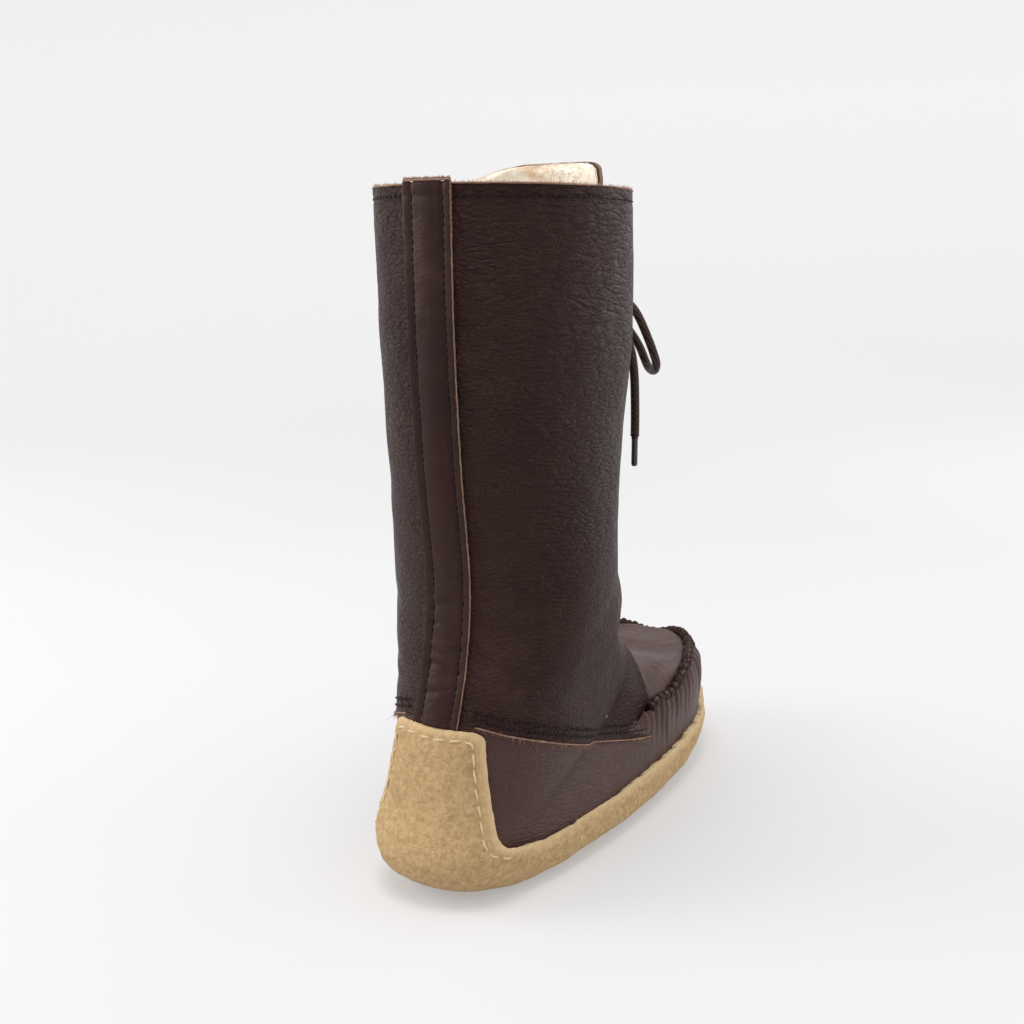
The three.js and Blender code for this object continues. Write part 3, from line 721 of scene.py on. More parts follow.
# The lace: the bow's loops and ends, its knot, and the runs through the eyelets.
knot = {"x": 0, "y": 24.5, "z": 279, "halfX": 7, "halfY": 5, "halfZ": 6}
loopRoute = [
    (8.2, 26, 281), (13, 27.5, 281), (20, 28.6, 279.5), (26, 28.6, 276), (31, 27.4, 272), (35.2, 25.4, 267.3),
    (38.8, 24, 261.7), (41.6, 24, 255.8), (43.2, 26, 249.8), (43.2, 30, 244.2), (40.8, 34.6, 240.3),
    (37, 39.2, 239.2), (33, 42.8, 240.8), (30.2, 43.9, 245.2), (28.4, 42.5, 250.4), (25.8, 40.4, 256.2),
    (21.6, 37.8, 262.6), (16, 34.6, 268.6), (10.6, 31.4, 273.4), (7.2, 29.2, 275.8),
]
endRoute = [
    (7.2, 23, 275.4), (10, 22.7, 274.3), (13.5, 22.3, 272.8), (17.5, 21.8, 270.9), (21, 21, 269),
    (24.2, 19.9, 266.5), (27.3, 18.8, 263.5), (30, 17.6, 260.4), (32.5, 16.5, 257),
    (34.6, 15.7, 252.6), (36.2, 15.2, 247.4),
    (37.2, 15.1, 241.2), (37.8, 15.1, 234.4), (38, 15.4, 226.4), (38, 16, 216.4), (37.6, 17, 206.4),
]
agletTip = (36.7, 19, 190)
leftSide = {"reach": 0.94, "drop": 1.08}


def toSide(point, side):
    x, y, z = point
    if side > 0:
        return np.array(point, float)
    grow = float(stepUp(8, 30, x))
    reach = 1 + (leftSide["reach"] - 1) * grow
    return np.array([-x * reach, y, knot["z"] + (z - knot["z"]) * (1 + (leftSide["drop"] - 1) * grow)])


def pathLength(path):
    return float(np.linalg.norm(np.diff(path, axis=0), axis=1).sum())


def freeCord(name, route, side, count, farEnd, withPieces, *nodes):
    path = toFrame(smoothPath([toSide(point, side) for point in route], count))
    line = bpy.data.curves.new(name, "CURVE")
    line.dimensions = "3D"
    line.bevel_depth = lace["radius"] * 0.001
    line.bevel_resolution = 5
    line.use_fill_caps = True
    spline = line.splines.new("POLY")
    spline.points.add(count - 1)
    for point, place in zip(spline.points, path):
        point.co = (*place, 1)
    line.materials.append(laceCord)
    piece = addObject(name, line)
    settle(piece, "lace", *nodes)
    print(name, "length", round(pathLength(path) * 1000, 1), "mm")
    return piece


def cordTubes(name, paths, node, radius=lace["radius"]):
    points, faces = tubes(paths, [radius] * len(paths), sides=14)
    return settle(meshPiece(name, points, faces, [laceCord]), "lace", node)


def makeKnot():
    turns = np.linspace(0, 2 * math.pi, 90, endpoint=False)
    room = [knot[key] - lace["radius"] * 0.95 for key in ("halfX", "halfY", "halfZ")]
    path = np.stack([
        knot["x"] + room[0] * (np.sin(turns) + 2 * np.sin(2 * turns)) / 2.7,
        knot["y"] + room[1] * -np.sin(3 * turns),
        knot["z"] + room[2] * (np.cos(turns) - 2 * np.cos(2 * turns)) / 2.7,
    ], -1)
    path = np.concatenate([path, path[:2]])
    return cordTubes("laceKnot", [path], "lace_knot", lace["radius"] * 0.98)


def makeAglet(side, name):
    start, tip = toSide(endRoute[-1], side), toSide(agletTip, side)
    way = (tip - start) / np.linalg.norm(tip - start)
    long, radius = lace["agletLength"], lace["agletRadius"]
    steps = [(0.0, 1.08), (0.06, 1.1), (0.1, 1.0), (0.5, 0.98), (0.92, 1.0), (0.98, 0.9), (1.0, 0.7)]
    path = [start + way * (0.3 + long * share) for share, _ in steps]
    points, faces = tubes([path], [np.array([radius * wide for _, wide in steps])], sides=24, endShare=0.15)
    piece = meshPiece(name, points, faces, [agletPlastic])
    return settle(piece, "aglet", "aglet_" + ("left" if side < 0 else "right"))


def eyeletPlaces():
    places = []
    for k in range(eyelet["pairs"]):
        z = eyelet["low"] + (eyelet["high"] - eyelet["low"]) * k / (eyelet["pairs"] - 1)
        for side in (-1, 1):
            x = side * (float(throatHalf(z)) + eyelet["aside"])
            at, left, right, down, up = skinPoints([x, x - 1, x + 1, x, x], [z, z, z, z - 2, z + 2], 0)
            normal = np.cross(up - down, right - left)
            normal /= np.linalg.norm(normal)
            normal *= 1 if normal[1] > 0 else -1
            places.append({"at": at, "normal": normal, "side": side, "pair": k + 1})
    return places


def makeEyelet(place):
    # A rolled ring with its barrel in the leather.
    low, rim, bore, ring = eyelet["stand"], eyelet["rim"], eyelet["bore"], eyelet["ring"]
    lip, deep = eyelet["lip"], eyelet["deep"]
    roll = [(bore + lip * (1 - math.cos(a)), low + 0.15 + rim * 0.85 * math.sin(a))
            for a in np.linspace(0, math.pi / 2, 6)]
    outer = [(ring + lip * (math.sin(a) - 1), low - 0.55 + (rim + 0.55) * math.cos(a))
             for a in np.linspace(0.1, math.pi / 2, 7)]
    under = [(ring - 0.3, low - 0.75), (eyelet["barrel"], low - 0.75), (eyelet["barrel"], -deep)]
    profile = [(bore, -deep)] + roll + outer + under
    up = Vector(place["normal"])
    turn = Vector((0, 0, 1)).rotation_difference(up).to_matrix()
    sides = 40
    points, faces = [], []
    for radius, height in profile:
        for k in range(sides):
            angle = 2 * math.pi * k / sides
            spot = turn @ Vector((radius * math.cos(angle), radius * math.sin(angle), height))
            points.append(np.array(spot) + place["at"])
    count = len(profile)
    for i in range(count):
        for k in range(sides):
            after, beside = (i + 1) % count, (k + 1) % sides
            faces.append((i * sides + k, i * sides + beside, after * sides + beside, after * sides + k))
    side = "left" if place["side"] < 0 else "right"
    piece = meshPiece(f"eyelet{side.capitalize()}{place['pair']}", np.array(points), faces, [bronze])
    settle(piece, "brass", f"eyelet_{side}_{place['pair']}")


def outOfEyelet(place, slip=0.0):
    # A run's first points: from behind the eyelet, through it and round its rim towards the throat.
    mouth = eyelet["stand"] + eyelet["rim"] + eyelet["clear"] + lace["radius"]
    steps = [(-2.4, 0), (1.6, slip), (mouth - 1.0, 1.2), (mouth, 3.6)]
    return [place["at"] + place["normal"] * out - (place["side"] * inward, 0, 0) for out, inward in steps]


def laceRuns(places):
    radius = lace["radius"]
    for pair in range(1, eyelet["pairs"]):
        after = next(p["at"][2] for p in places if p["pair"] == pair + 1) - eyelet["ring"]
        paths = []
        for place in (p for p in places if p["pair"] == pair):
            at, side = place["at"], place["side"]
            edge = float(throatHalf(at[2]))
            turn = float(throatHalf(after)) - radius - 0.6
            xs = np.array([side * edge, 0, -side * turn, -side * (turn + 1.5)])
            zs = at[2] + (after - at[2]) * np.array([0.26, 0.6, 1, 1.08])
            over = np.array([radius + 1.2, radius / 2 + (0.0 if side < 0 else 0.5), -4.5, -7.6])
            paths.append(smoothPath(outOfEyelet(place, 0.1) + list(skinPoints(xs, zs, over)), 46))
        cordTubes(f"laceCross{pair}", paths, f"lace_cross_{pair}")
    z = eyelet["low"]
    reach = float(throatHalf(z)) + 0.8
    xs = np.linspace(-reach, reach, 9)
    cordTubes("laceLowBar", [smoothPath(skinPoints(xs, np.full(9, z), -6.7), 30)], "lace_low_bar")
    for side, name in ((-1, "left"), (1, "right")):
        place = next(p for p in places if p["pair"] == eyelet["pairs"] and p["side"] == side)
        end = np.array([side * (knot["halfX"] - 3), knot["y"] - knot["halfY"] + 1.5, knot["z"]])
        start = outOfEyelet(place)
        path = smoothPath(start + [(start[-1] + end) / 2 + (0, 0.8, -0.5), end], 32)
        cordTubes(f"laceTop{name.capitalize()}", [path], f"lace_top_{name}")


laceKnot = makeKnot()
for side, name in ((1, "right"), (-1, "left")):
    label = name.capitalize()
    tied = [laceKnot] if side > 0 else []
    freeCord("laceLoop" + label, loopRoute, side, 110, "object", tied, "lace_loop_" + name)
    aglet = makeAglet(side, "aglet" + label)
    freeCord("laceEnd" + label, endRoute, side, 80, "fitting", [aglet], "lace_end_" + name)
eyelets = eyeletPlaces()
for spot in eyelets:
    makeEyelet(spot)
laceRuns(eyelets)
print("lace made")


# Stitches and loose fibres.
def calmed(points):
    # The same line with its height smoothed.
    calm = points.copy()
    calm[:, 2] = smoothed(points[:, 2], 25)
    return calm


def stitchRow(path, normals, stitch, space, radius, rise=0.35, sink=0.5, turnStep=0.0):
    # Short stitches along a line on a surface, their ends in the leather.
    path, normals = np.asarray(path, float), np.asarray(normals, float)
    total = pathLength(path)
    run = np.concatenate([[0], np.cumsum(np.linalg.norm(np.diff(path, axis=0), axis=1))])
    lines, radii = [], []
    place = space / 2
    while place + stitch < total:
        wander = chance.uniform(-0.12, 0.12)
        shares = np.linspace(0, 1, 7)
        at = place + stitch * (shares + wander * 0.4)
        point = np.stack([np.interp(at, run, path[:, k]) for k in range(3)], -1)
        normal = np.stack([np.interp(at, run, normals[:, k]) for k in range(3)], -1)
        height = rise * np.sin(math.pi * shares) ** 0.6 - sink * (np.abs(2 * shares - 1) ** 6)
        across = np.cross(normal, point[-1] - point[0])
        across /= max(np.linalg.norm(across[0]), 1e-9)
        slip = (shares - 0.5)[:, None] * turnStep
        lines.append(point + normal * height[:, None] + across * slip)
        radii.append(radius * (0.75 + 0.25 * np.sin(math.pi * shares)))
        place += stitch + space
    return lines, radii


def fibresAlong(path, normals, count, long, radius, spreadOut=0.6, droop=0.3):
    # Loose curled fibres that stand out of a raw edge.
    lines, radii = [], []
    for _ in range(count):
        k = chance.randrange(len(path))
        start = path[k]
        way = normals[k] + np.array([chance.uniform(-1, 1) for _ in range(3)]) * spreadOut
        way /= np.linalg.norm(way)
        curl = np.array([chance.uniform(-1, 1) for _ in range(3)])
        size = long * chance.uniform(0.35, 1.0)
        shares = np.linspace(0, 1, 4)
        line = start + np.outer(shares * size, way) + np.outer(shares ** 2 * size * 0.5, curl)
        line[:, 2] -= shares ** 2 * size * droop
        lines.append(line)
        radii.append(radius * np.array([1, 0.9, 0.7, 0.35]))
    return lines, radii


def joined(name, sets, material, slot, sides=6):
    lines = [line for run in sets for line in run[0]]
    radii = [radius for run in sets for radius in run[1]]
    points, faces = tubes(lines, radii, sides=sides)
    return settle(meshPiece(name, points, faces, [material]), slot)


skinTree = castTree(0)


def castPoint(tree, origin, way):
    place, normal, _, _ = tree.ray_cast(Vector(origin), Vector(way).normalized(), 400)
    if place is None:
        return None, None
    normal = np.array(normal)
    return np.array(place), normal if np.dot(normal, way) > 0 else -normal


def aroundLine(tree, height, turns, centreY=-70, lift=0.0):
    # A line round the boot on the skin, at a height that depends on y.
    points, normals = [], []
    for turn in turns:
        way = (math.sin(turn), -math.cos(turn), 0)
        z, origin = 80.0, None
        for _ in range(6):
            place, normal = castPoint(tree, (0, centreY, z), way)
            if place is None:
                break
            z = float(height(place[1]))
        if place is not None:
            points.append(place + normal * lift)
            normals.append(normal)
    return np.array(points), np.array(normals)


# Creases by (distance round from the back, height): a run of points, width and depth in millimetres.
# Right of the back is plus. Depth under nought is a trough, over nought a ridge.
shaftLook = {
    "collarStitch": 5.2, "rows": (4.4, 7.9), "edgeStitch": 4.2, "raw": 0.22, "blend": 9.0,
    "fineThread": {"stitch": 2.5, "space": 0.9, "radius": 0.42, "rise": -0.02},
    "ledgeThread": {"stitch": 2.1, "space": 0.8, "radius": 0.46, "rise": 0.22},
    "creases": [
        ([(13, 148), (40, 144), (70, 150)], 5.0, -0.9), ([(14, 132), (34, 128), (58, 131)], 4.0, -0.8),
        ([(13, 117), (36, 110), (62, 112)], 4.5, -0.9), ([(60, 112), (92, 124), (122, 146)], 6.5, -1.0),
        ([(78, 92), (108, 104), (134, 128), (146, 150)], 7.0, -1.0),
        ([(104, 84), (130, 100), (150, 126)], 5.0, -0.7),
        ([(86, 104), (116, 118), (138, 142)], 6.0, 0.7), ([(126, 78), (144, 94), (158, 112)], 4.0, -0.6),
        ([(20, 176), (60, 182), (104, 178)], 8.0, -0.6), ([(30, 230), (80, 236), (130, 230)], 11.0, -0.6),
        ([(24, 290), (70, 284), (120, 291)], 9.0, -0.5), ([(60, 262), (110, 266), (150, 258)], 9.0, 0.5),
        ([(-13, 108), (-32, 104), (-52, 107)], 3.4, -1.0), ([(-13, 99), (-34, 95), (-56, 97)], 3.0, -0.9),
        ([(-13, 136), (-40, 132), (-66, 138)], 5.0, -0.8), ([(-60, 110), (-94, 122), (-124, 146)], 6.5, -0.9),
        ([(-76, 90), (-106, 102), (-134, 128)], 6.5, -0.9),
        ([(-24, 190), (-66, 196), (-100, 190)], 9.0, -0.6),
        ([(-30, 250), (-80, 244), (-130, 252)], 10.0, -0.6),
        ([(-60, 288), (-104, 282), (-140, 290)], 9.0, 0.45),
    ],
}


def creaseDepth(around, z, creases):
    depth = np.zeros(len(z))
    for points, width, deep in creases:
        line = smoothPath(points, 60)
        reach = np.full(len(z), 1e9)
        share = np.zeros(len(z))
        near = (around > line[:, 0].min() - 4 * width) & (around < line[:, 0].max() + 4 * width)
        near &= (z > line[:, 1].min() - 4 * width) & (z < line[:, 1].max() + 4 * width)
        spots = np.nonzero(near)[0]
        if not len(spots):
            continue
        gaps = np.hypot(around[spots, None] - line[None, :, 0], z[spots, None] - line[None, :, 1])
        reach[spots] = gaps.min(axis=1)
        share[spots] = gaps.argmin(axis=1) / (len(line) - 1)
        ends = np.sin(math.pi * np.clip(share, 0.04, 0.96)) ** 0.6
        depth += deep * ends * np.exp(-(reach / width) ** 2)
    return depth


def groove(distance, width=0.9, deep=0.35):
    return -deep * np.exp(-(distance / width) ** 2)


def shaftEdges(points):
    # How far inside the shaft's panel: above the ledge, behind the wing, beside the throat.
    x, y, z = points[..., 0], points[..., 1], points[..., 2]
    return z - ledgeAt(y), wingEdge(x) - y, np.where(y > -20, np.abs(x) - throatHalf(z), 99)


def shaftKeep(points):
    y, z = points[..., 1], points[..., 2]
    above, behind, beside = shaftEdges(points)
    flat = points.reshape(-1, points.shape[-1])
    ragged = (bumps(flat, 3.1) + 0.6 * bumps(flat, 1.3, 9)).reshape(z.shape) * shaftLook["raw"]
    above = above + ragged
    blend = shaftLook["blend"]
    soft = np.clip(0.5 + 0.5 * (behind - above) / blend, 0, 1)
    corner = behind * (1 - soft) + above * soft - blend * soft * (1 - soft)
    corner = np.where(z > 60 + 40 * (y < -20), np.minimum(behind, above), corner)
    return np.minimum(corner, beside)


def makeShaft():
    grid = skinGrid(0, 10.2, boot["pitch"], 104, 0)
    grid = grid[:, np.abs(grid[0, :, 3]) < 199]
    points, faces = clip(grid, shaftKeep(grid[..., :3]))
    around, z = points[:, 3], points[:, 2]
    normals = normalsOf(points, faces)
    above, behind, beside = shaftEdges(points)
    push = creaseDepth(around, z, shaftLook["creases"])
    push += groove(boot["collar"] - z - shaftLook["collarStitch"], 1.1, 0.45)
    push += sum(groove(above - row, 0.9, 0.55) for row in shaftLook["rows"])
    push += groove(beside - shaftLook["edgeStitch"], 1.0, 0.4)
    push += 0.35 * np.exp(-(above / 1.6) ** 2) + 0.7 * np.exp(-(behind / 2.4) ** 2)
    push += 0.55 * bumps(points, 34) + 0.22 * bumps(points, 11, 3)
    push += 0.16 * bumps(points * (1, 1, 2.2, 1), 4.2, 5) * stepUp(60, 300, z)
    moved = points[:, :3] + normals * push[:, None]
    high = stepUp(175, 300, z) * (0.55 + 0.45 * stepUp(10, 90, np.abs(around)))
    drawn = stepUp(190, 120, z) * stepUp(25, 110, np.abs(around)) * (0.6 + 0.4 * stepUp(60, 110, z))
    drawn = np.maximum(drawn, 0.55 * stepUp(60, 20, np.abs(around)) * stepUp(260, 150, z))
    plain = 0.85 * stepUp(0.25, 0.75, normals[:, 2])
    drawn *= 1 - plain
    piece = meshPiece("shaftLeather", moved, faces, [hideShaft, suede, rawEdge],
                      {"high": high, "drawn": drawn, "plain": plain})
    shell(piece, boot["leather"], rimSlot=2, insideSlot=1)
    return settle(piece, "hide", "shaft")


def throatLine(side, aside, low, high, count=160):
    z = np.linspace(low, high, count)
    x = side * (throatHalf(z) + aside)
    return skinLine(x, z, 0.0)


def makeShaftStitches():
    rows = []
    ring = np.linspace(-2.66, 2.66, 420)
    collar = boot["collar"] - shaftLook["collarStitch"]
    points, normals = aroundLine(skinTree, lambda y: collar, ring, centreY=-50)
    rows.append(stitchRow(points, normals, **shaftLook["fineThread"]))
    for side in (-1, 1):
        ledgeTurns = side * np.linspace(0.36, 2.68, 340)
        for row in shaftLook["rows"]:
            heights = lambda y, row=row: ledgeAt(y) + row
            points, normals = aroundLine(skinTree, heights, ledgeTurns)
            fits = (points[:, 1] < wingEdge(points[:, 0]) - 3.5)
            rows.append(stitchRow(calmed(points[fits]), normals[fits], **shaftLook["ledgeThread"]))
        points, normals = throatLine(side, shaftLook["edgeStitch"], 92, collar - 1)
        rows.append(stitchRow(points, normals, **shaftLook["fineThread"]))
    joined("shaftStitches", rows, darkThread, "lace")


def makeLedgeFuzz():
    # Loose fibres of the raw edge round the ankle, with one pale tuft by the front corner.
    sets, pale = [], []
    ring = np.linspace(-math.pi, math.pi, 900)
    rim, out = aroundLine(skinTree, lambda y: boot["collar"] - 1.5, ring, centreY=-50)
    rim = rim[np.abs(rim[:, 0]) + 99 * (rim[:, 1] < 0) > throatHalf(boot["collar"]) + 1]
    first = int(np.argmax(np.linalg.norm(np.diff(rim, axis=0), axis=1) > 8)) + 1
    parts = [rim[:first], rim[first:]] if first > 1 else [rim]
    for part in parts:
        sets.append(([part + (0, 0, 1.35)], [0.42 + 0.12 * bumps(part, 1.7)]))
    for side in (-1, 1):
        turns = side * np.linspace(0.4, 2.7, 300)
        points, normals = aroundLine(skinTree, lambda y: ledgeAt(y) + 0.3, turns)
        fits = points[:, 1] < wingEdge(points[:, 0]) - 3
        points, normals = calmed(points[fits]), normals[fits]
        sets.append(([points + normals * 0.5], [0.42 + 0.2 * bumps(points, 2.1)]))
        down = normals * 0.35 + (0, 0, -0.8)
        sets.append(fibresAlong(points, down, 260, 2.2, 0.09))
        sets.append(fibresAlong(points, down, 16, 5.0, 0.12, spreadOut=1.2))
        pale.append(fibresAlong(points[-6:-3], down[-6:-3], 16, 2.6, 0.14, spreadOut=0.9))
    joined("ledgeFuzz", sets, rawEdge, "hide", sides=4)
    joined("ledgeTuft", pale, paleEdge, "hide", sides=4)


makeShaft()
makeShaftStitches()
makeLedgeFuzz()


stripLook = {
    "half": 11.75, "thick": 1.5, "bottom": 83, "stitch": 7.9, "over": 2.4,
    "thread": {"stitch": 2.6, "space": 1.0, "radius": 0.45, "rise": 0.1},
    "wrinkles": [(151, 0.22), (139, 0.4), (128, 0.55), (118, 0.5), (109, 0.6), (100, 0.45)],
}


def stripSurface(x, s):
    # Up the back by s, then over the rim for as far as s goes.
    top = boot["collar"] - 0.6
    bend = 2.9
    arc = math.pi * bend
    z = np.minimum(s, top)
    base, normals = skinLine(x, z, 0.35, False, 0.5, -0.5)
    past = np.clip(s - top, 0, arc) / bend
    inside = np.maximum(s - top - arc, 0)
    lift = bend * 0.62 * (np.cos(past) - 1)
    level = normals * (1, 1, 0)
    points = base + level * lift[:, None]
    points[:, 2] += bend * 0.3 * np.sin(past) - inside
    turned = level * np.cos(past)[:, None] + np.array([0, 0, 1]) * np.sin(past)[:, None]
    return points, np.where((s > top)[:, None], turned, normals)


def makeStrip():
    half, top = stripLook["half"], boot["collar"] + stripLook["over"]
    xs = np.linspace(-half, half, 31)
    fine = boot["collar"] - 6
    s = np.concatenate([np.arange(stripLook["bottom"], fine, 1.25), np.arange(fine, top, 0.7)])
    columns, rows = np.meshgrid(xs, s)
    x, up = columns.ravel(), rows.ravel()
    jag = 0.28 * np.array([noise.noise(Vector((v / 2.6, w > 0, 0))) for v, w in zip(up, x)])
    x = x + jag * (np.abs(x) > half - 0.5)
    points, normals = stripSurface(x, up)
    wide = np.abs(x)
    push = stripLook["thick"] + 0.75 * np.cos(np.clip(wide / stripLook["stitch"], 0, 1) * math.pi / 2) ** 1.2
    push += groove(wide - stripLook["stitch"], 0.8, 0.75)
    push += 0.35 * stepUp(half - 2.2, half, wide) - 0.55 * stepUp(300, 328, up) * stepUp(9, 3, wide)
    push += groove(boot["collar"] - up - shaftLook["collarStitch"], 1.2, 0.35)
    for height, deep in stripLook["wrinkles"]:
        line = height + 2.2 * np.sin(x / 6.0 + height)
        push += groove(up - line, 1.5, deep) * stepUp(11.5, 6, wide)
        push += 0.5 * deep * np.exp(-((up - line - 3.2) / 2.0) ** 2) * stepUp(11.5, 6, wide)
    push += 0.2 * bumps(points, 7) + 0.1 * bumps(points, 2.4, 4)
    moved = points + normals * push[:, None]
    faces = [tuple(reversed(face)) for face in quads(len(s), len(xs))]
    marks = {"high": np.zeros(len(x)), "drawn": 0.35 * stepUp(240, 120, up)}
    piece = meshPiece("backStrip", moved, faces, [hideStrip, paleEdge], marks)
    shell(piece, stripLook["thick"], rimSlot=1)
    settle(piece, "hide", "back_strip")
    rowsOf, fuzz = [], []
    for side in (-1, 1):
        s = np.linspace(stripLook["bottom"] + 3, boot["collar"] - 2, 320)
        line, out = stripSurface(np.full(len(s), side * stripLook["stitch"]), s)
        rowsOf.append(stitchRow(line + out * (stripLook["thick"] - 0.55), out, **stripLook["thread"]))
        s = np.linspace(stripLook["bottom"] + 3, boot["collar"] + 1, 400)
        line, out = stripSurface(np.full(len(s), side * half), s)
        outward = out * 0.5 + np.array([side, 0, 0]) * 0.8
        fuzz.append(fibresAlong(line + out * stripLook["thick"] * 0.7, outward, 700, 0.8, 0.07))
        fuzz.append(fibresAlong(line[-40:] + out[-40:], outward[-40:] + (0, 0, 0.6), 260, 1.1, 0.09,
                                droop=-0.2))
    across = np.linspace(-half, half, 120)
    line, out = stripSurface(across, np.full(120, boot["collar"] + stripLook["over"] - 0.6))
    fuzz.append(([line + out * 2.1], [0.7 + 0.3 * bumps(line, 1.9)]))
    for lift in (1.9, 2.6):
        fuzz.append(fibresAlong(line + out * lift, out * 0.2 + (0, 0, 0.9), 300, 1.1, 0.09, droop=0.1))
    joined("stripStitches", rowsOf, darkThread, "lace")
    joined("stripFuzz", fuzz, paleEdge, "hide", sides=4)


makeStrip()


# The lower: the moccasin's sides, from inside the sole up to the gathered seam.
lowerTree = castTree(boot["lowerSkin"], -2 * 2)
lowerLook = {"heelY": -88, "toeY": 84, "pleat": 4.3, "sidePleat": 7.6, "pleatDeep": 1.35, "frontFrom": 17,
             "raise": 7.5, "rows": 30, "inside": 7, "lap": 9, "wall": 1.2}


def lowerColumn(place, way):
    # The skin's outline in an upright plane: distance out, height, normal.
    found = []
    for lift in np.radians(np.linspace(-44, 84, 52)):
        aim = (way[0] * math.cos(lift), way[1] * math.cos(lift), math.sin(lift))
        hit, normal = castPoint(lowerTree, (place[0], place[1], 36), aim)
        if hit is not None:
            found.append(np.concatenate([hit, normal]))
    return np.array(found)


def apronReach(place, way):
    # How far out from a place the apron's edge lies.
    low, high = 0.0, 120.0
    for _ in range(30):
        far = (low + high) / 2
        x, y = place[0] + way[0] * far, place[1] + way[1] * far
        if y <= apron["start"]:
            inside = abs(x - float(apronCentre(y))) < apron["half"]
        else:
            inside = ((x - float(apronCentre(y))) / apron["half"]) ** 2 \
                + ((y - apron["start"]) / (apron["tip"] - apron["start"])) ** 2 < 1
        low, high = (far, high) if inside else (low, far)
    return low


def spinePlaces():
    # Origins and directions round the foot: from the middle of the heel, by the right, to the toe.
    stops = []
    for turn in np.linspace(0, math.pi / 2, 60):
        stops.append(((0, lowerLook["heelY"]), (math.sin(turn), -math.cos(turn))))
    for y in np.linspace(lowerLook["heelY"], lowerLook["toeY"], 240)[1:-1]:
        stops.append(((float(apronCentre(y)), y), (1.0, 0.0)))
    for turn in np.linspace(math.pi / 2, math.pi, 220):
        stops.append(((float(apronCentre(lowerLook["toeY"])) - 3 * math.cos(turn) ** 2, lowerLook["toeY"]),
                      (math.sin(turn), -math.cos(turn))))
    return stops


def lowerProfiles():
    # Even columns all round the foot, each from inside the sole up to its top.
    right = spinePlaces()
    left = [((2 * float(apronCentre(p[1])) - p[0] if p[1] < lowerLook["toeY"] else p[0], p[1]), (-w[0], w[1]))
            for p, w in right[-2:0:-1]]
    profiles = []
    for place, way in right + left:
        outline = lowerColumn(place, way)
        far = np.hypot(outline[:, 0] - place[0], outline[:, 1] - place[1])
        low = float(along(bandEdge, float(outline[len(outline) // 3, 1]))) - lowerLook["inside"]
        keep = outline[:, 2] > low
        if place[1] > lowerLook["frontFrom"]:
            keep &= far > apronReach(place, way)
        else:
            keep &= outline[:, 2] < ledgeAt(outline[:, 1]) + lowerLook["lap"]
        profiles.append(evenPath(outline[keep], lowerLook["rows"]))
    return np.array(profiles)


def makeLower():
    profiles = lowerProfiles()
    rows = lowerLook["rows"]
    tops = profiles[:, -1]
    run = np.concatenate([[0], np.cumsum(np.linalg.norm(np.diff(tops[:, :2], axis=0), axis=1))])
    pitch = lowerLook["pleat"]
    even = [0.0]
    while even[-1] < run[-1]:
        y = np.interp(even[-1], run, tops[:, 1])
        even.append(even[-1] + (pitch / 9 if y > 12 else 2.4))
    even = np.array(even[:-1])
    columns = np.stack([np.stack([np.interp(even, run, profiles[:, i, k]) for i in range(rows)], 1)
                        for k in range(6)], 2)
    count = len(even)
    down = np.cumsum(np.linalg.norm(np.diff(columns[:, ::-1, :3], axis=1), axis=2), axis=1)
    down = np.concatenate([np.zeros((count, 1)), down], axis=1)[:, ::-1]
    y = columns[:, -1, 1]
    front = stepUp(12, 26, y)[:, None]
    wide = pitch + (lowerLook["sidePleat"] - pitch) * stepUp(138, 90, y)
    wide *= 1 + 0.3 * np.array([noise.noise(Vector((place / 11, 2.2, 0))) for place in even])
    phase = np.concatenate([[0], np.cumsum(np.diff(even) / wide[1:])])
    raised = lowerLook["raise"] * stepUp(54, 22, y) * stepUp(8, 20, y)
    columns[:, :, 2] += raised[:, None] * np.exp(-(down / 16) ** 2)
    whole = np.floor(phase).astype(int)
    pleats = range(whole.max() + 2)
    size = np.array([0.55 + 0.45 * noise.noise(Vector((k * 0.7, 1.3, 0))) + 0.35 * (k % 3 == 0)
                     for k in pleats])
    longer = np.array([10 + 7 * noise.noise(Vector((k * 0.9, 7.1, 0))) + 7 * (k % 4 == 1) for k in pleats])
    share = phase - whole
    strength = size[whole] * (1 - share) + size[whole + 1] * share
    reach = longer[whole] * (1 - share) + longer[whole + 1] * share
    side = stepUp(128, 95, np.abs(y))[:, None] * 0.75 + 0.4
    wave = np.cos(2 * math.pi * phase)[:, None] + 0.35 * np.cos(2 * math.pi * phase * 0.5 + 1.0)[:, None]
    fading = np.exp(-(down / reach[:, None]) ** 1.3)
    push = lowerLook["pleatDeep"] * strength[:, None] * side * front * wave * fading
    push += 0.5 * front * np.exp(-((down - 5) / 6) ** 2)
    flat = columns.reshape(-1, 6)
    push = push.ravel() + 0.45 * bumps(flat, 26) + 0.18 * bumps(flat, 8, 2)
    normals = flat[:, 3:] / np.linalg.norm(flat[:, 3:], axis=1)[:, None]
    moved = flat[:, :3] + normals * push[:, None]
    faces = [face[::-1] for face in quads(count, rows)]
    end = (count - 1) * rows
    faces += [(end + j, end + j + 1, j + 1, j) for j in range(rows - 1)]
    marks = {"high": np.zeros(len(moved)), "drawn": 0.25 + 0.5 * stepUp(-60, 10, flat[:, 1])}
    piece = meshPiece("lowerLeather", moved, faces, [hideLowerLit], marks)
    shell(piece, lowerLook["wall"])
    settle(piece, "hide", "upper")
    ahead = np.nonzero(y > 20)[0]
    line = np.stack([smoothed(columns[ahead, -1, k], 31) for k in range(6)], -1)
    return line, even[ahead], phase[ahead]


seam, seamRun, seamPhase = makeLower()
print("seam", len(seam), round(float(seamRun[-1] - seamRun[0]), 1))


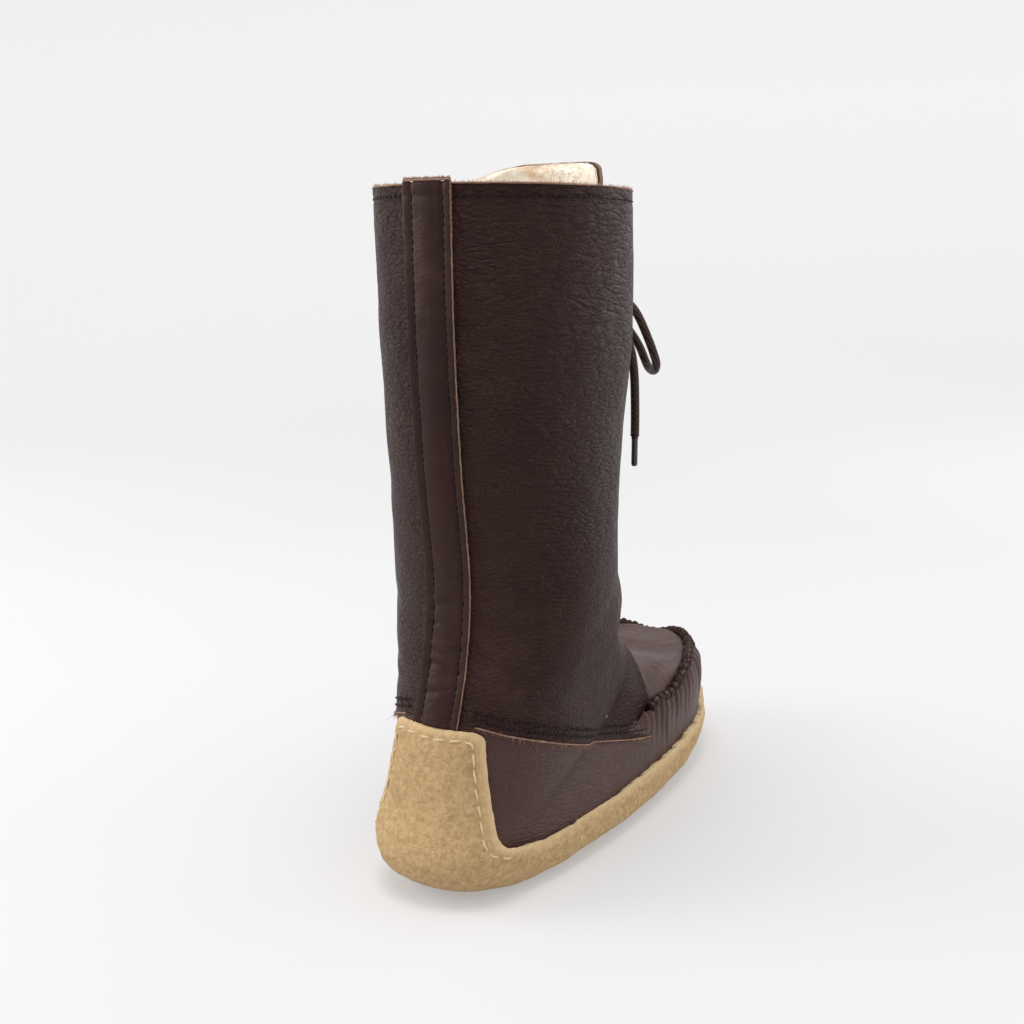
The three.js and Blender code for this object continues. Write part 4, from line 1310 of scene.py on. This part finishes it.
# The apron, and the gathered seam round it.
apronLook = {"rings": 30, "spineFrom": 60, "spineShare": 0.55, "sink": 1.1, "flatten": 0.55,
             "lowest": 45, "throatY": 62}
ridgeLook = {"rise": 1.5, "high": 3.3, "wide": 2.8, "sides": 22, "slant": 0.16, "thread": 0.42,
             "notch": 1.75}


def makeApron():
    edge = seam[::2]
    y = edge[:, 1]
    past = np.maximum(y - apronLook["spineFrom"], 0)
    spineY = y - past * (1 - apronLook["spineShare"])
    spine = np.stack([apronCentre(spineY), spineY], -1)
    spine = (spine + spine[::-1]) / 2
    rows = []
    for share in np.linspace(0, 1, apronLook["rings"]) ** 0.75:
        plan = spine + (edge[:, :2] - spine) * share
        row = []
        for k, (x, forward) in enumerate(plan):
            hit, _ = castPoint(lowerTree, (x, forward, 130), (0, 0, -1))
            if hit is None or share == 1:
                hit = edge[k, :3]
            row.append((x, forward, hit[2], share))
        rows.append(row)
    grid = np.array(rows)
    grid = grid[:, grid[-1, :, 1] > apron["rear"] - 3]
    count, across = grid.shape[:2]
    order = np.argsort(grid[-1, :, 1])
    level = np.convolve(np.pad(grid[-1, order, 2], 20, mode="edge"), np.ones(41) / 41, "valid")
    crown = grid[..., 2] - np.interp(grid[..., 1], grid[-1, order, 1], level)
    grid[..., 2] -= apronLook["flatten"] * crown * stepUp(46, 96, grid[..., 1]) * (1 - grid[..., 3] ** 6)
    flat = grid.reshape(-1, 4)
    inset = (1 - flat[:, 3]) * 46
    flat[:, 2] += -apronLook["sink"] * np.exp(-(inset / 3.0) ** 2) + 0.5 * np.exp(-((inset - 7) / 5) ** 2)
    flat[:, 2] += 0.5 * bumps(flat, 30) + 0.16 * bumps(flat, 9, 5)
    phase = np.interp(np.arange(across) * 2, np.arange(len(seamPhase)), seamPhase)
    ripple = np.cos(2 * math.pi * np.tile(phase, count))
    flat[:, 2] += 0.22 * ripple * np.exp(-(inset / 3.5) ** 2)
    for y0, deep in ((62, 0.18), (70, 0.14)):
        flat[:, 2] += groove(flat[:, 1] - y0 - 3 * np.cos(flat[:, 0] / 20), 2.2, deep)
    astray = (flat[:, 2] < apronLook["lowest"]) & (flat[:, 1] < apronLook["throatY"])   # inside the leg
    faces = [face for face in quads(count, across) if not astray[list(face)].any()]
    marks = {"high": np.zeros(len(flat)), "drawn": 0.4 * stepUp(60, 28, flat[:, 1])}
    piece = meshPiece("apronLeather", flat, faces, [hideApronLit], marks)
    welded = bmesh.new()
    welded.from_mesh(piece.data)
    bmesh.ops.remove_doubles(welded, verts=welded.verts, dist=0.00003)
    loose = [vert for vert in welded.verts if not vert.link_faces]
    bmesh.ops.delete(welded, geom=loose, context="VERTS")
    welded.to_mesh(piece.data)
    welded.free()
    faceTo(piece, 2)
    shell(piece, lowerLook["wall"])
    settle(piece, "hide", "apron")


def ridgeFrames():
    path = seam[:, :3]
    ahead = np.gradient(path, axis=0)
    ahead /= np.linalg.norm(ahead, axis=1)[:, None]
    normals = seam[:, 3:] / np.linalg.norm(seam[:, 3:], axis=1)[:, None]
    smooth = np.stack([smoothed(normals[:, k], 41) for k in range(3)], -1)
    lift = smooth + (0, 0, 0.5)
    lift -= ahead * (lift * ahead).sum(axis=1)[:, None]
    lift /= np.linalg.norm(lift, axis=1)[:, None]
    return path, ahead, lift, np.cross(ahead, lift)


def makeRidge():
    path, ahead, lift, beside = ridgeFrames()
    look = ridgeLook
    angles = np.linspace(0, 2 * math.pi, look["sides"], endpoint=False)
    phase = seamPhase[:, None] + look["slant"] * np.sin(angles)[None, :] + 0.10 * np.cos(angles)[None, :]
    whole = np.floor(phase + 0.5).astype(int)
    size = 1 + 0.16 * np.vectorize(lambda k: noise.noise(Vector((k * 0.8, 3.3, 0))))(whole)
    lump = np.abs(np.cos(math.pi * phase)) ** 0.55
    radius = (0.60 + 0.40 * lump) * size
    high = look["high"] * (1 + 0.1 * np.sin(seamRun / 17))[:, None]
    crown = np.maximum(np.sin(angles), 0)[None, :] ** 2
    notch = 1 - 0.22 * np.exp(-((angles - look["notch"]) / 0.22) ** 2)[None, :]
    a = beside[:, None, :] * (look["wide"] * radius * np.cos(angles) * notch)[..., None]
    b = lift[:, None, :] * (high * radius * np.sin(angles) * (1 + 0.08 * crown) * notch)[..., None]
    centre = path + lift * look["rise"]
    points = (centre[:, None, :] + a + b).reshape(-1, 3)
    points += 0.22 * bumps(points, 1.5)[:, None]
    faces = quads(len(path), look["sides"], closed=True)
    cap = len(path) * look["sides"]
    points = np.concatenate([points, centre[:1], centre[-1:]])
    for k in range(look["sides"]):
        after = (k + 1) % look["sides"]
        faces.append((cap, k, after))
        end = (len(path) - 1) * look["sides"]
        faces.append((cap + 1, end + after, end + k))
    marks = {"high": np.zeros(len(points)), "drawn": np.zeros(len(points))}
    piece = meshPiece("puckerRidge", points, faces, [hideRidge, ridgeEdge], marks)
    piece.data.update()
    top = look["sides"] // 4
    if Vector(points[top] - centre[0]).dot(piece.data.polygons[top].normal) < 0:
        piece.data.flip_normals()
    for index, polygon in enumerate(piece.data.polygons):
        spot = index % look["sides"]
        row = index // look["sides"]
        cut = abs(angles[spot] - look["notch"]) < 0.2 and row < len(path) and lump[row, spot] > 0.55
        polygon.material_index = 1 if cut and noise.noise(Vector((row * 0.05, 0, 0))) > -0.12 else 0
    settle(piece, "hide", "pucker_seam")
    # One thread over each hollow, from the apron up across the ridge.
    lines, radii = [], []
    place = math.ceil(seamPhase[0]) + 0.5
    while place < seamPhase[-1] - 0.3:
        k = int(np.searchsorted(seamPhase, place))
        at = centre[k]
        arc = []
        for angle in np.linspace(math.radians(-10), math.radians(205), 13):
            slip = ahead[k] * (0.9 * (angle - 1.6) / 1.8)
            out = 0.70 + 0.30 * abs(math.sin(angle))
            arc.append(at - beside[k] * -math.cos(angle) * look["wide"] * out * 1.02
                       + lift[k] * math.sin(angle) * look["high"] * 0.74 + slip)
        lines.append(np.array(arc))
        radii.append(look["thread"])
        place += 1
    joined("ridgeThread", [(lines, radii)], redThread, "lace", sides=7)


makeApron()
makeRidge()
print("lower made")


soleLook = {
    "thick": 5.0, "stitchIn": 4.6, "topStitch": 79.2, "jag": 0.42, "blend": 5.0,
    "thread": {"stitch": 6.2, "space": 1.7, "radius": 0.55, "rise": 0.25, "sink": 0.7, "turnStep": 0.5},
}


def tabHalf(z):
    table = np.array(heelTab["half"], float)
    return np.interp(z, table[:, 0], table[:, 1])


def soleKeep(points):
    x, y, z = points[..., 0], points[..., 1], points[..., 2]
    flat = points.reshape(-1, points.shape[-1])
    jag = (bumps(flat, 4.5, 2) + 0.7 * bumps(flat, 1.8, 6)).reshape(x.shape) * soleLook["jag"]
    band = along(bandEdge, y) - z + jag
    corner = tabHalf(z) - np.abs(x)
    top = heelTab["top"] - z - 0.02 * x
    blend = soleLook["blend"]
    soft = np.clip(0.5 + 0.5 * (top - corner) / blend, 0, 1)
    tab = top * (1 - soft) + corner * soft - blend * soft * (1 - soft) + jag
    tab = np.where(y < heelTab["front"], tab, -50)
    soft = np.clip(0.5 + 0.5 * (tab - band) / blend, 0, 1)
    near = np.minimum(np.abs(tab), np.abs(band)) < 8
    joinedEdge = band * (1 - soft) + tab * soft + blend * soft * (1 - soft) * 0.6
    return np.where(near & (y < heelTab["front"]), joinedEdge, np.maximum(tab, band))


def tabStitchPath():
    look = soleLook
    heights = (22, 28, 34, 42, 52, 62, 70, look["topStitch"] - 3.5)
    right = [(float(tabHalf(z)) - look["stitchIn"] - 0.5, z) for z in heights]
    right.append((right[-1][0] - 3.5, look["topStitch"]))
    left = [(-x, z + 0.04 * x) for x, z in reversed(right)]
    line = smoothPath([(x, z, 0) for x, z in right + [(0, look["topStitch"] - 0.3)] + left], 420)
    return skinLine(line[:, 0], line[:, 1], boot["soleSide"], False, 0.5, 0.5)


def makeSole():
    grid = domedToe(skinGrid(4.4, 15, 1.75, 112, boot["soleSide"], boot["soleUnder"]), boot["toeDome"], 9)
    keep = soleKeep(grid[..., :3])
    points, faces = clip(np.concatenate([grid, keep[..., None]], axis=2), keep)
    normals = normalsOf(points, faces)
    edge = points[:, 4]
    push = 0.75 * bumps(points, 19) + 0.42 * bumps(points, 7, 3) + 0.26 * bumps(points, 3.1, 8)
    push += -1.7 * np.exp(-(np.clip(edge, 0, 99) / 2.2) ** 2) + 0.35 * np.exp(-((edge - 4.2) / 1.8) ** 2)
    line, out = tabStitchPath()
    heel = np.nonzero(points[:, 1] < -70)[0]
    gaps = np.linalg.norm(points[heel, None, :3] - line[None, ::3, :], axis=2).min(axis=1)
    push[heel] += -0.75 * np.exp(-(gaps / 1.3) ** 2) + 0.25 * np.exp(-((gaps - 3.2) / 1.4) ** 2)
    tread = stepUp(0.0, 3.5, points[:, 2])
    moved = points[:, :3] + normals * (push * tread)[:, None]
    moved[:, 2] = np.maximum(moved[:, 2], 0)
    marks = {"cut": np.exp(-(np.clip(edge, 0, 99) / 2.4) ** 2)}
    piece = meshPiece("crepeSole", moved, faces, [crepe, crepeEdge], marks)
    shell(piece, soleLook["thick"], rimSlot=1)
    settle(piece, "crepe", "outsole")
    row = stitchRow(line - out * 0.25, out, **soleLook["thread"])
    joined("soleStitches", [row], creamThread, "lace", sides=8)


makeSole()


# Tongue, fur and footbed.
tongueLook = {
    "thick": 1.8, "fur": 4.2, "top": 346, "low": 62,
    "rows": [(60, -26, 26), (120, -31, 31), (230, -36, 30), (300, -44, 28), (330, -46, 28), (337, -40, 28),
             (342.5, -31, 26.5), (345, -22, 23), (346, -10, 16)],
}
furLook = {"depth": 8.6, "top": 328.4, "pitch": 3.4, "puff": 0.75}


def tongueGrid(low, high, step, across, depth, insetLeft=0.0, insetRight=0.0, insetTop=0.0):
    table = np.array(tongueLook["rows"], float)
    z = np.concatenate([np.arange(low, 330, step), np.linspace(330, high, 22)])
    fit = np.clip(z + insetTop, 60, 346)
    left = np.interp(fit, table[:, 0], table[:, 1]) + insetLeft
    right = np.interp(fit, table[:, 0], table[:, 2]) - insetRight
    shares = np.linspace(0, 1, across)
    x = left[:, None] + (right - left)[:, None] * shares[None, :]
    points = skinPoints(x, z[:, None] + 0 * x, -depth)
    points = points.reshape(len(z), across, 3)
    return points, z, x


def makeTongue():
    depth = boot["lining"] + 0.4
    points, z, x = tongueGrid(tongueLook["low"], tongueLook["top"], 2.2, 41, depth)
    flat = points.reshape(-1, 3)
    flat[:, 1] += 0.5 * bumps(flat, 22) + 0.12 * bumps(flat, 5, 2)
    faces = quads(len(z), 41)
    marks = {"high": np.zeros(len(flat)), "drawn": np.full(len(flat), 0.3)}
    piece = meshPiece("tongueLeather", flat, faces, [hideLowerLit, rawEdge], marks)
    faceTo(piece, 1)
    shell(piece, tongueLook["thick"], rimSlot=1)
    settle(piece, "hide", "tongue")
    deep = depth + tongueLook["thick"] + 0.05
    points, z, x = tongueGrid(tongueLook["low"] + 2, tongueLook["top"] - 0.7, 2.0, 46, deep, 0.9, 2.6, 0.7)
    flat = points.reshape(-1, 3)
    edge = np.minimum(np.abs(x - x[:, :1]), np.abs(x - x[:, -1:])).ravel()
    thick = tongueLook["fur"] * (0.45 + 0.55 * stepUp(0, 5, edge))
    thick *= 0.5 + 0.5 * stepUp(346, 341, flat[:, 2])
    thick = thick + 0.9 * bumps(flat, 6.5, 1) + 0.6 * bumps(flat, 2.8, 5)
    back = flat.copy()
    back[:, 1] -= np.maximum(thick, 0.8)
    rows, columns = len(z), 46
    both = np.concatenate([flat, back])
    sheet = quads(rows, columns)
    faces = sheet + [tuple(rows * columns + k for k in face[::-1]) for face in sheet]
    rim = list(range(columns)) + [i * columns + columns - 1 for i in range(1, rows)]
    rim += [(rows - 1) * columns + j for j in range(columns - 2, -1, -1)]
    rim += [i * columns for i in range(rows - 2, 0, -1)]
    for a, b in zip(rim, rim[1:] + rim[:1]):
        faces.append((b, a, a + rows * columns, b + rows * columns))
    piece = meshPiece("tongueFur", both, faces, [shearling])
    faceTo(piece, 1, slice(len(sheet), 2 * len(sheet)), -1)
    settle(piece, "shearling")
    tall = np.nonzero(back[:, 2] > 318)[0]
    spots = back[tall]
    ways = np.tile(np.array([0, -0.8, 0.35]), (len(spots), 1))
    tufts = [fibresAlong(spots, ways, 1500, 2.6, 0.10, spreadOut=0.8, droop=0.15)]
    joined("tongueTufts", tufts, shearling, "shearling", sides=3)


def makeFurLining():
    grid = domedToe(skinGrid(0, 15, furLook["pitch"], 56, -furLook["depth"], -5), 1, 4)
    x, y, z = grid[..., 0], grid[..., 1], grid[..., 2]
    keep = np.where((y > -20) & (z > throat["from"] + 6), np.abs(x) - throatHalf(z) - 0.6, 99)
    keep = np.minimum(keep, furLook["top"] - z)
    points, faces = clip(grid, keep)
    normals = normalsOf(points, faces)
    push = furLook["puff"] * (bumps(points, 7) + 0.7 * bumps(points, 3.2, 4))
    near = stepUp(furLook["top"] - 7, furLook["top"], points[:, 2])
    moved = points[:, :3] + normals * (push + 2.6 * near ** 2)[:, None]
    moved[:, 2] -= 0.5 * near * np.abs(bumps(points, 4, 2))
    moved[:, 2] -= 5 * stepUp(48, 80, points[:, 1]) * stepUp(40, 55, points[:, 2])   # room under the apron
    piece = meshPiece("furLining", moved, [face[::-1] for face in faces], [shearling])
    shell(piece, furLook["depth"] - boot["leather"] - 2.4)
    settle(piece, "shearling")


def makeRimFur():
    # Short fleece that shows all along the rim, just inside the leather.
    ring = np.linspace(-2.6, 2.6, 900)
    rim, normals = aroundLine(skinTree, lambda y: boot["collar"] - 2.0, ring, centreY=-50)
    tufts = []
    for depth, count in ((2.6, 1900), (4.5, 1500), (7.0, 1100)):
        spots = rim - normals * depth
        ways = -normals * 0.25 + (0, 0, 0.9)
        tufts.append(fibresAlong(spots, ways, count, 3.4, 0.12, spreadOut=0.55, droop=0.25))
    joined("rimFur", tufts, shearling, "shearling", sides=3)
    edge = rim - normals * 1.0 + (0, 0, 1.9)
    fuzz = fibresAlong(edge, normals * 0.1 + (0, 0, 0.7), 1500, 1.7, 0.10, spreadOut=0.9, droop=0.0)
    joined("rimFuzz", [fuzz], paleEdge, "hide", sides=3)


def makeInsole():
    grid = skinGrid(6.6, 15, 2.6, 60, -10, -12)
    x, y, z = grid[..., 0], grid[..., 1], grid[..., 2]
    keep = np.minimum.reduce([21.5 - z, y + 116, 134 - y])
    points, faces = clip(grid, keep)
    normals = normalsOf(points, faces)
    moved = points[:, :3] - normals * (0.5 * (bumps(points, 6) + 0.7 * bumps(points, 2.8, 4)))[:, None]
    piece = meshPiece("insoleFur", moved, [face[::-1] for face in faces], [shearling])
    shell(piece, 5.5)
    settle(piece, "shearling", "insole")


makeTongue()
makeFurLining()
makeRimFur()
makeInsole()
print("fur made")


# Floor and light.
studio = {
    "floorFlat": 1.5, "floorEnd": 3.6, "wall": 1.5, "sky": 0.86,
    "lamps": [
        ("lampLeft", (-1.35, -0.75, 0.75), 1.0, 14.0), ("lampTop", (0.0, -0.35, 1.9), 1.0, 15.0),
        ("lampFront", (0.45, 1.5, 0.9), 0.9, 3.5), ("lampRight", (1.25, 0.75, 0.55), 0.9, 4.0),
    ],
    "aim": (0, 0, 0.17), "lampColour": (1.0, 0.985, 0.965), "skyColour": (1.0, 0.99, 1.0, 1),
}


def makeStudio():
    radii = [(0.0, 0.0), (0.35, 0.0), (0.8, 0.0), (studio["floorFlat"], 0.0)]
    for a in np.linspace(0.1, 1, 14):
        reach = studio["floorFlat"] + (studio["floorEnd"] - studio["floorFlat"]) * a
        radii.append((reach, studio["wall"] * a ** 2.2))
    sides, points, faces = 72, [(0, 0, 0)], []
    for radius, height in radii[1:]:
        for k in range(sides):
            angle = 2 * math.pi * k / sides
            points.append((radius * math.cos(angle), radius * math.sin(angle), height))
    for k in range(sides):
        faces.append((0, 1 + k, 1 + (k + 1) % sides))
    for i in range(len(radii) - 2):
        for k in range(sides):
            here, beside = 1 + i * sides + k, 1 + i * sides + (k + 1) % sides
            faces.append((here, here + sides, beside + sides, beside))
    mesh = bpy.data.meshes.new("floor")
    mesh.from_pydata(points, [], faces)
    mesh.shade_smooth()
    mesh.materials.append(makeFloorPaint())
    floor = addObject("floor", mesh)
    world = bpy.data.worlds.new("studio")
    world.use_nodes = True
    glow = world.node_tree.nodes["Background"].inputs
    glow["Color"].default_value = studio["skyColour"]
    glow["Strength"].default_value = studio["sky"]
    bpy.context.scene.world = world
    for name, place, size, power in studio["lamps"]:
        lamp = bpy.data.lights.new(name, "AREA")
        lamp.shape = "DISK"
        lamp.size = size
        lamp.energy = power
        lamp.color = studio["lampColour"]
        holder = addObject(name, lamp)
        holder.location = place
        aim = Vector(studio["aim"]) - Vector(place)
        holder.rotation_euler = aim.to_track_quat("-Z", "Y").to_euler()
    bpy.context.scene.view_settings.view_transform = "Standard"


makeStudio()
print("studio made")
